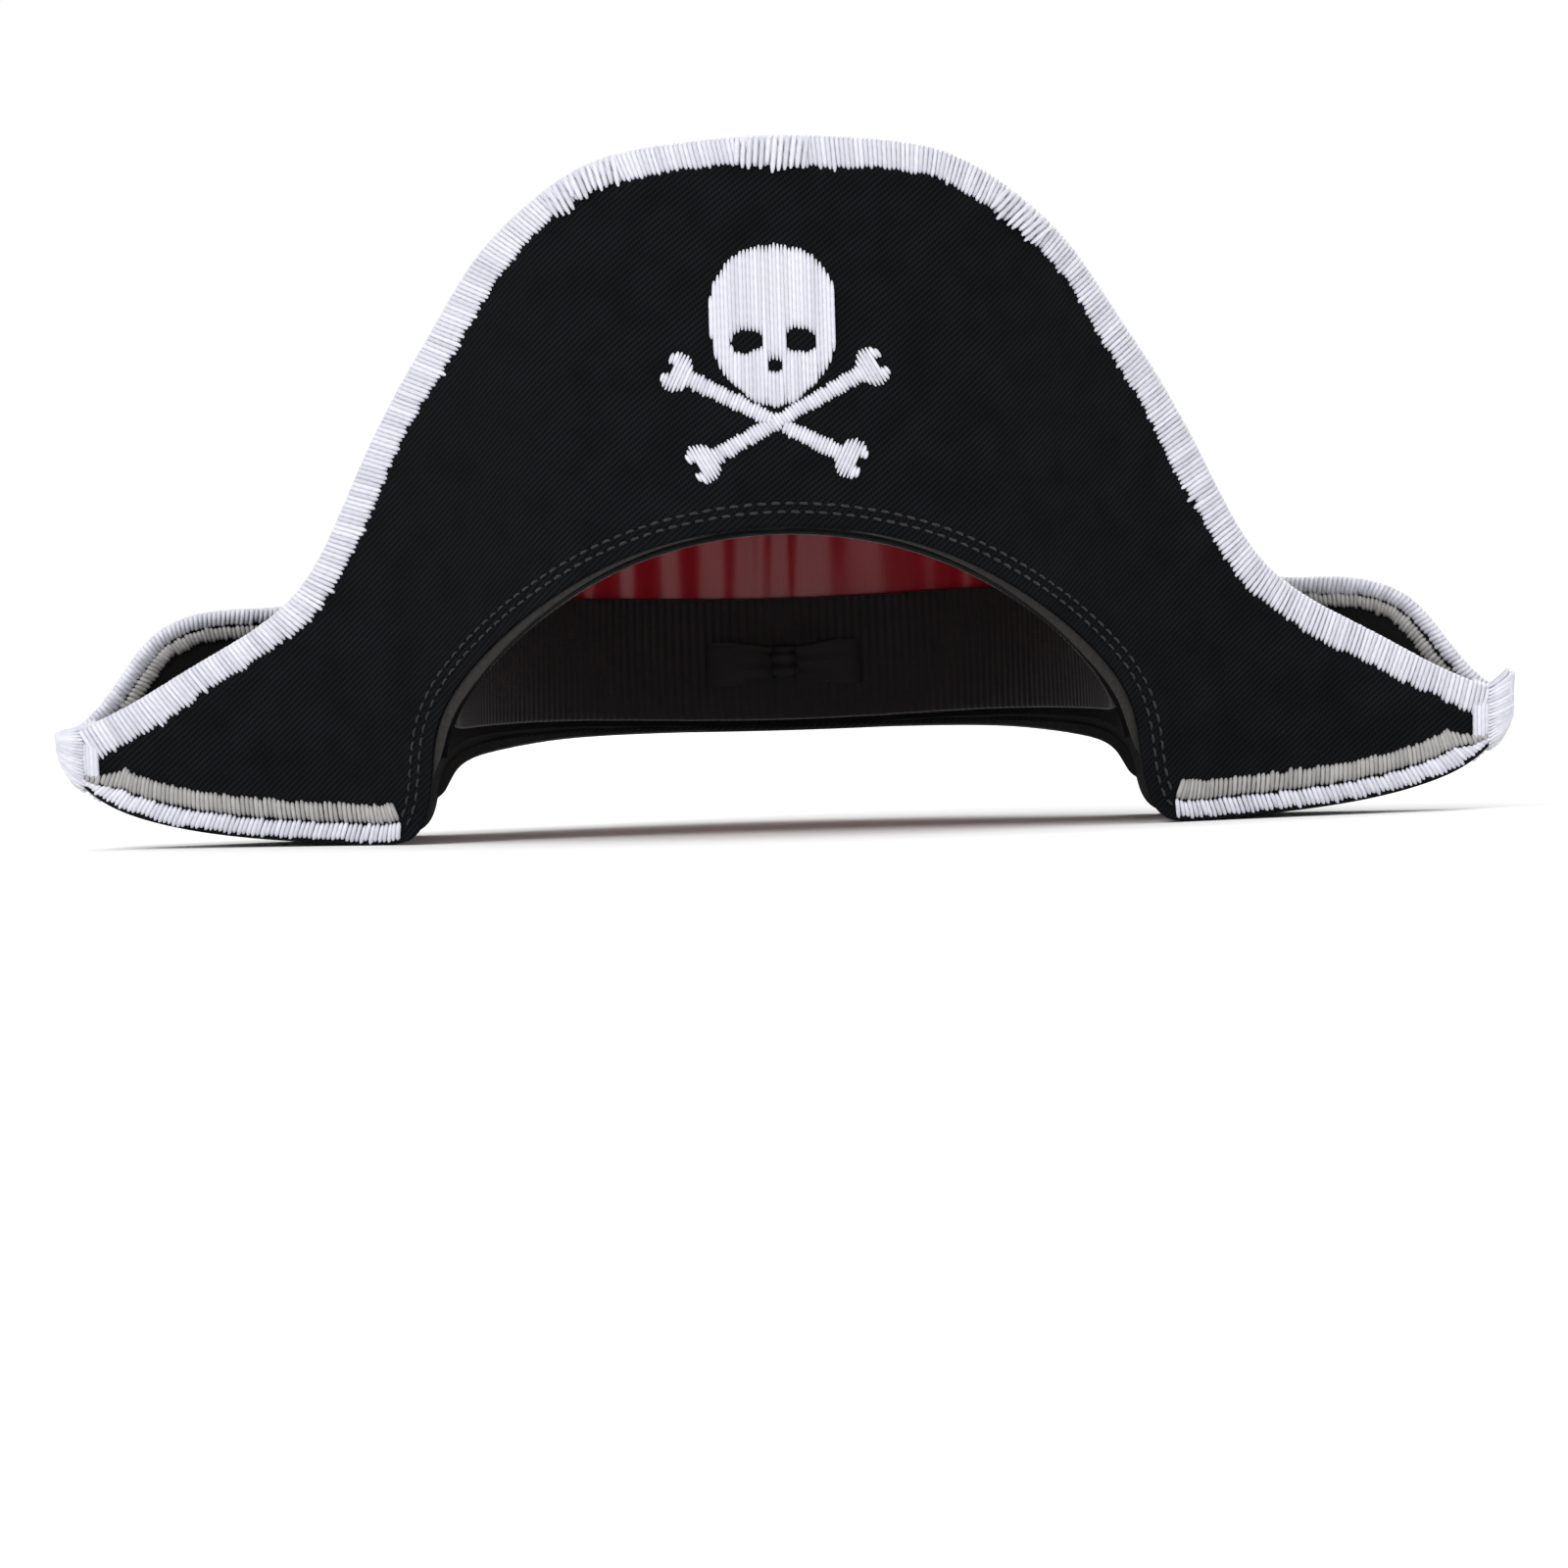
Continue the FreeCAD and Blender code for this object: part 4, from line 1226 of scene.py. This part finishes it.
# %% [markdown]
# ## Sweatband
#
# A ribbed grosgrain ribbon runs round the inside of the opening, where the hat touches the head. Its
# ribs are upright and about two millimetres apart, so they are modelled. Its edges roll slightly.

# %% Sweatband
BAND_WIDE, BAND_THICK, RIB = 32.0, 1.2, 2.3
BAND_INSET = FELT_THICK + LINING_THICK + 1.6


def band_profile():
    """Height share and extra thickness down the inside of the band, with rolled edges."""
    share = np.concatenate([[1.0, 1.004, 1.0], np.linspace(0.98, 0.03, 26), [0.01, -0.004, 0.0]])
    thick = np.concatenate([[0.0, 0.5, 0.95], np.full(26, 1.0), [0.95, 0.5, 0.0]])
    return share, thick


angle = np.linspace(0, 2 * math.pi, 1801)[:-1]
base = crown_base(angle, BAND_INSET, 0.4)
round_band = along(on_crown(angle, 0 * angle, 1.0, BAND_INSET))
rib_count = round(round_band[-1] / RIB)
rib = 0.5 + 0.5 * np.cos(2 * math.pi * rib_count * round_band / round_band[-1])
rows = []
for share, thick in zip(*band_profile()):
    z = base + BAND_WIDE * share
    inset = BAND_THICK * thick + 0.30 * rib**0.7 * thick + 0.25 * np.sin(6 * angle + 3 * share)
    rows.append(on_crown(angle, z, left_at(z, BAND_INSET) - inset / MEAN_RADIUS, BAND_INSET))
for share in np.linspace(0, 1, 8):
    z = base + BAND_WIDE * share
    rows.append(on_crown(angle, z, left_at(z, BAND_INSET) + 0.2 / MEAN_RADIUS, BAND_INSET))
rows = np.array(rows)
index = numbered(rows)
faces = [round_quads(np.concatenate([index, index[:1]]))]
sewn_piece("grosgrain_sweatband", rows.reshape(-1, 3), faces, GROSGRAIN, "grosgrain", ["sweatband"],
           run_and_height(round_band, rows, faces))
print("sweatband has", rib_count, "ribs round", round(round_band[-1]), "mm")

# %% [markdown]
# ## The bow at the back of the sweatband
#
# The ribbon's ends meet at the back under a small flat bow. Each loop is a strip that leaves the
# knot, widens, turns and comes back; the knot is a narrower strip wrapped round them.

# %% Bow
BOW_HEIGHT = ARCH_RISE * NAPE_SHARE + BAND_WIDE * 0.55
BOW_MIDDLE = reach("sweatband_bow", 1, 1) - 2.9


def ribbon_strip(name, path, half_width, thick, stands_for=()):
    """A ribbon of that half width along a path in x and y, standing upright in z."""
    run = unit(np.gradient(path, axis=0))
    square = np.stack([-run[:, 1], run[:, 0], 0 * run[:, 0]], axis=-1)
    across = np.linspace(-1, 1, 15)
    spine = np.stack([path[:, 0], path[:, 1], 0 * path[:, 0] + BOW_HEIGHT], axis=-1)
    crease = 0.35 * np.cos(across * 2.4 * math.pi) * np.clip(1 - np.abs(path[:, 0]) / 16, 0, 1)[:, None]
    spread = np.stack([0 * across, 0 * across, across], axis=-1)[:, None] * half_width[None, :, None]
    front = spine[None] + spread + square[None] * (thick / 2 + crease.T[:, :, None])
    back = spine[None] + spread + square[None] * (-thick / 2 + crease.T[:, :, None])
    rows = np.concatenate([front, back[::-1]])
    points, faces = loop_of_rows(rows)
    return sewn_piece(name, points, faces, GROSGRAIN, "grosgrain", stands_for,
                      run_and_height(along(path), rows, faces))


t = np.linspace(0, 1, 61)
for hand, sign in HANDS:
    x = sign * (1.5 + 19.5 * np.sin(math.pi * t) ** 0.85)
    y = BOW_MIDDLE + 1.6 * np.sin(2 * math.pi * t)
    wide = 3.4 + 2.4 * np.clip(np.abs(x) / 14, 0, 1)
    ribbon_strip(f"bow_loop_{hand}", np.stack([x, y], axis=-1), wide, 0.5)
turn = np.linspace(0, 2 * math.pi * 0.985, 49)
knot = np.stack([3.3 * squared_off(np.cos(turn), 0.7),
                 BOW_MIDDLE + 2.7 * squared_off(np.sin(turn), 0.8)], axis=-1)
ribbon_strip("bow_knot", knot, np.full(len(knot), 4.1), 0.6, ["sweatband_bow"])

# %% [markdown]
# ## The underside
#
# Felt closes the brim from below. It joins the lower edges of both panels and the crown, arches up
# over the forehead, and is seamed from each side of the crown out to the tip. The mesh is ruled from
# the panel's inner face to the crown, or to the middle seam beyond the crown.

# %% Underside
INTO_FELT = 1.3


def underside(word, side):
    points, _ = columns_of(side, 0.0)
    x = points[:, 0]
    panel_y = on_panel(x, points[:, 1], 0.3, side)[:, 1]
    left = 1.0
    for _ in range(3):
        across = np.minimum(np.abs(x / HEAD_HALF_WIDTH / left), 1)
        crown_y = -side * HEAD_HALF_LENGTH * left * np.sqrt(1 - across**2)
        left = left_at(low_edge(x, crown_y), 0.0) - INTO_FELT / MEAN_RADIUS
    rows_low, rows_high = [], []
    for share in np.linspace(0, 1, 22):
        y = panel_y + (crown_y - panel_y) * share
        pucker = 0.22 * np.sin(x / 3.1 + 1.5 * math.sin(5 * share)) * math.exp(-((share - 0.5) ** 2) * 6)
        edge = min(share, 1 - share)
        z = low_edge(x, y) + 0.45 + pucker + 0.5 * math.sin(math.pi * share) - seam_dip(edge, 0.35, 0.04)
        rows_low.append(np.stack([x, y, z], axis=-1))
        rows_high.append(np.stack([x, y, z + 1.1], axis=-1))
    rows = np.array(rows_high[::-1] + rows_low)
    made, faces = loop_of_rows(rows)
    return sewn_piece(f"{word}_felt_underside", made, facing(faces, -side), FELT, "black_felt",
                      [f"underside_{word}"])


for word, side in PANELS:
    underside(word, side)

# %% [markdown]
# ## Topstitching
#
# A row of short running stitches holds each hem. A running stitch dives into the cloth at both
# ends and comes up in the middle, so each one is a small arc with a gap before the next.

# %% Running stitches


def running_stitches(name, spots, outward, pitch=3.6, length=2.5, thick=0.36):
    """Short stitches along a line of 3-D points. outward is the cloth's normal at each point."""
    far = along(spots)
    starts = np.arange(pitch / 2, far[-1] - length, pitch)
    at = starts[:, None] + np.linspace(0, length, 7)[None]
    place, square = looked_up(at, far, spots), looked_up(at, far, outward)
    arc = (np.sin(math.pi * np.linspace(0, 1, 7)) ** 0.6 * 0.55 - 0.25)[None, :, None]
    paths = place + square * arc
    return thread_piece(name, paths, np.cross(square[:, 3], np.gradient(paths, axis=1)[:, 3]),
                        BLACK_THREAD, "black_twill", thick=thick)


def panel_outward(x, z, out, side):
    """The cloth's normal on a panel, from two small steps."""
    here = on_panel(x, z, out, side)
    across, rise = on_panel(x + 0.5, z, out, side) - here, on_panel(x, z + 0.5, out, side) - here
    return unit(np.cross(across, rise) * side)


HEM_END = 99.0
for word, side in PANELS:
    for number, distance in enumerate((3.4, 5.6)):
        points, run, up = stations(lower_edge(side), 1.0, -HEM_END, HEM_END)
        points = points + up * distance
        x, z = points[:, 0], points[:, 1]
        spots = on_panel(x, z, PANEL + swell(x, z, side), side)
        running_stitches(f"{word}_hem_stitches_{number}", spots, panel_outward(x, z, PANEL, side))

for hand, sign in HANDS:
    for word, seam_angle in (("front", 0.0), ("back", math.pi)):
        turn_by = seam_angle + sign * (3.0 / MEAN_RADIUS) * (1 if seam_angle == 0 else -1)
        base = float(crown_base(np.array([turn_by]), 0.0)[0])
        z = np.linspace(base + 4, TIP_SEAM - 4, 120)
        dent = felt_dent(turn_by, z)
        spots = on_crown(turn_by, z, left_at(z, 0) + (dent - 0.02) / MEAN_RADIUS, 0.0)
        facing_out = np.tile([math.sin(turn_by), -math.cos(turn_by), 0.0], (len(z), 1))
        running_stitches(f"crown_{word}_seam_stitches_{hand}", spots, facing_out, 3.2, 2.2)

# %% [markdown]
# ## Floor, light and camera
#
# The hat stands on a plain pale floor. Large soft lamps light it from the front and above, as for
# a catalogue, and a lamp behind separates the black crown from the ground. The camera is far away
# with a long lens, so the hat shows nearly without perspective, and it is turned by a small roll.

# %% Floor and backdrop


def pale_floor():
    finish, shader = new_finish("pale_floor", Roughness=0.8, Specular_IOR_Level=0.2)
    grain = noise(finish, room_place(finish), 0.004, 3.0)
    colour(finish, shader, grain, (0.90, 0.90, 0.90), (0.94, 0.94, 0.94))
    bpy.ops.mesh.primitive_circle_add(vertices=96, radius=14.0, fill_type="NGON", location=(0, 0, -0.0003))
    floor = bpy.context.object
    floor.name = "floor"
    floor.data.materials.append(finish)
    floor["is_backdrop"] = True


pale_floor()
world = bpy.data.worlds.new("room")
bpy.context.scene.world = world
world.use_nodes = True
world.node_tree.nodes["Background"].inputs["Color"].default_value = (1.0, 1.0, 1.0, 1)
world.node_tree.nodes["Background"].inputs["Strength"].default_value = 1.02

# %% Lamps


def aimed(name, kind, place, target, energy):
    """A lamp that stands at a place and points at a target."""
    lamp = bpy.data.objects.new(name, bpy.data.lights.new(name, kind))
    lamp.data.energy = energy
    lamp.location = place
    lamp.rotation_mode = "QUATERNION"
    lamp.rotation_quaternion = (Vector(target) - Vector(place)).to_track_quat("-Z", "Y")
    bpy.context.scene.collection.objects.link(lamp)
    return lamp


key = aimed("key", "SUN", (-1.0, -1.6, 1.5), (0, 0, 0.08), 1.5)
key.data.angle = math.radians(22)
fill = aimed("fill", "AREA", (1.2, -1.5, 0.45), (0, 0, 0.08), 3.0)
fill.data.shape, fill.data.size = "DISK", 1.0
behind = aimed("behind", "AREA", (0.5, 1.4, 1.1), (0, 0, 0.12), 6.0)
behind.data.shape, behind.data.size = "DISK", 0.8

for lamp in (key, fill, behind):
    print("lamp", lamp.name, lamp.data.type, "strength", lamp.data.energy)

# %% Camera
VIEW_WIDTH = 0.411
DISTANCE = 8.0
ROLL, RISE = 1.7, 1.2
eye = bpy.data.objects.new("camera", bpy.data.cameras.new("camera"))
bpy.context.scene.collection.objects.link(eye)
bpy.context.scene.camera = eye
eye.data.sensor_width = 36.0
eye.data.lens = eye.data.sensor_width * DISTANCE / VIEW_WIDTH
aim_x, aim_z = -0.0008, 0.0116
lift = math.radians(RISE)
eye.location = (aim_x, -DISTANCE * math.cos(lift), aim_z + DISTANCE * math.sin(lift))
eye.rotation_euler = (math.pi / 2 - lift, 0, 0)
eye.rotation_euler.rotate_axis("Z", math.radians(-ROLL))
eye.data.clip_start, eye.data.clip_end = 0.05, 60.0
bpy.context.scene.view_settings.view_transform = "Standard"
print("camera", DISTANCE, "m away, lens", round(eye.data.lens), "mm, view", VIEW_WIDTH, "m wide")

# %% [markdown]
# ## The sizes of the hat and of the frame
#
# Threads and cloth may stand a few millimetres proud of the CAD box. Both boxes are
# printed, so that they can be compared after every render.

# %% Sizes
shown_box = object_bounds()
boxes = {"cad": [list(corner) for corner in cad_box], "visual": [list(corner) for corner in shown_box]}
for name, box in boxes.items():
    print(name, "box, mm:", [[round(v / MM, 1) for v in corner] for corner in box])
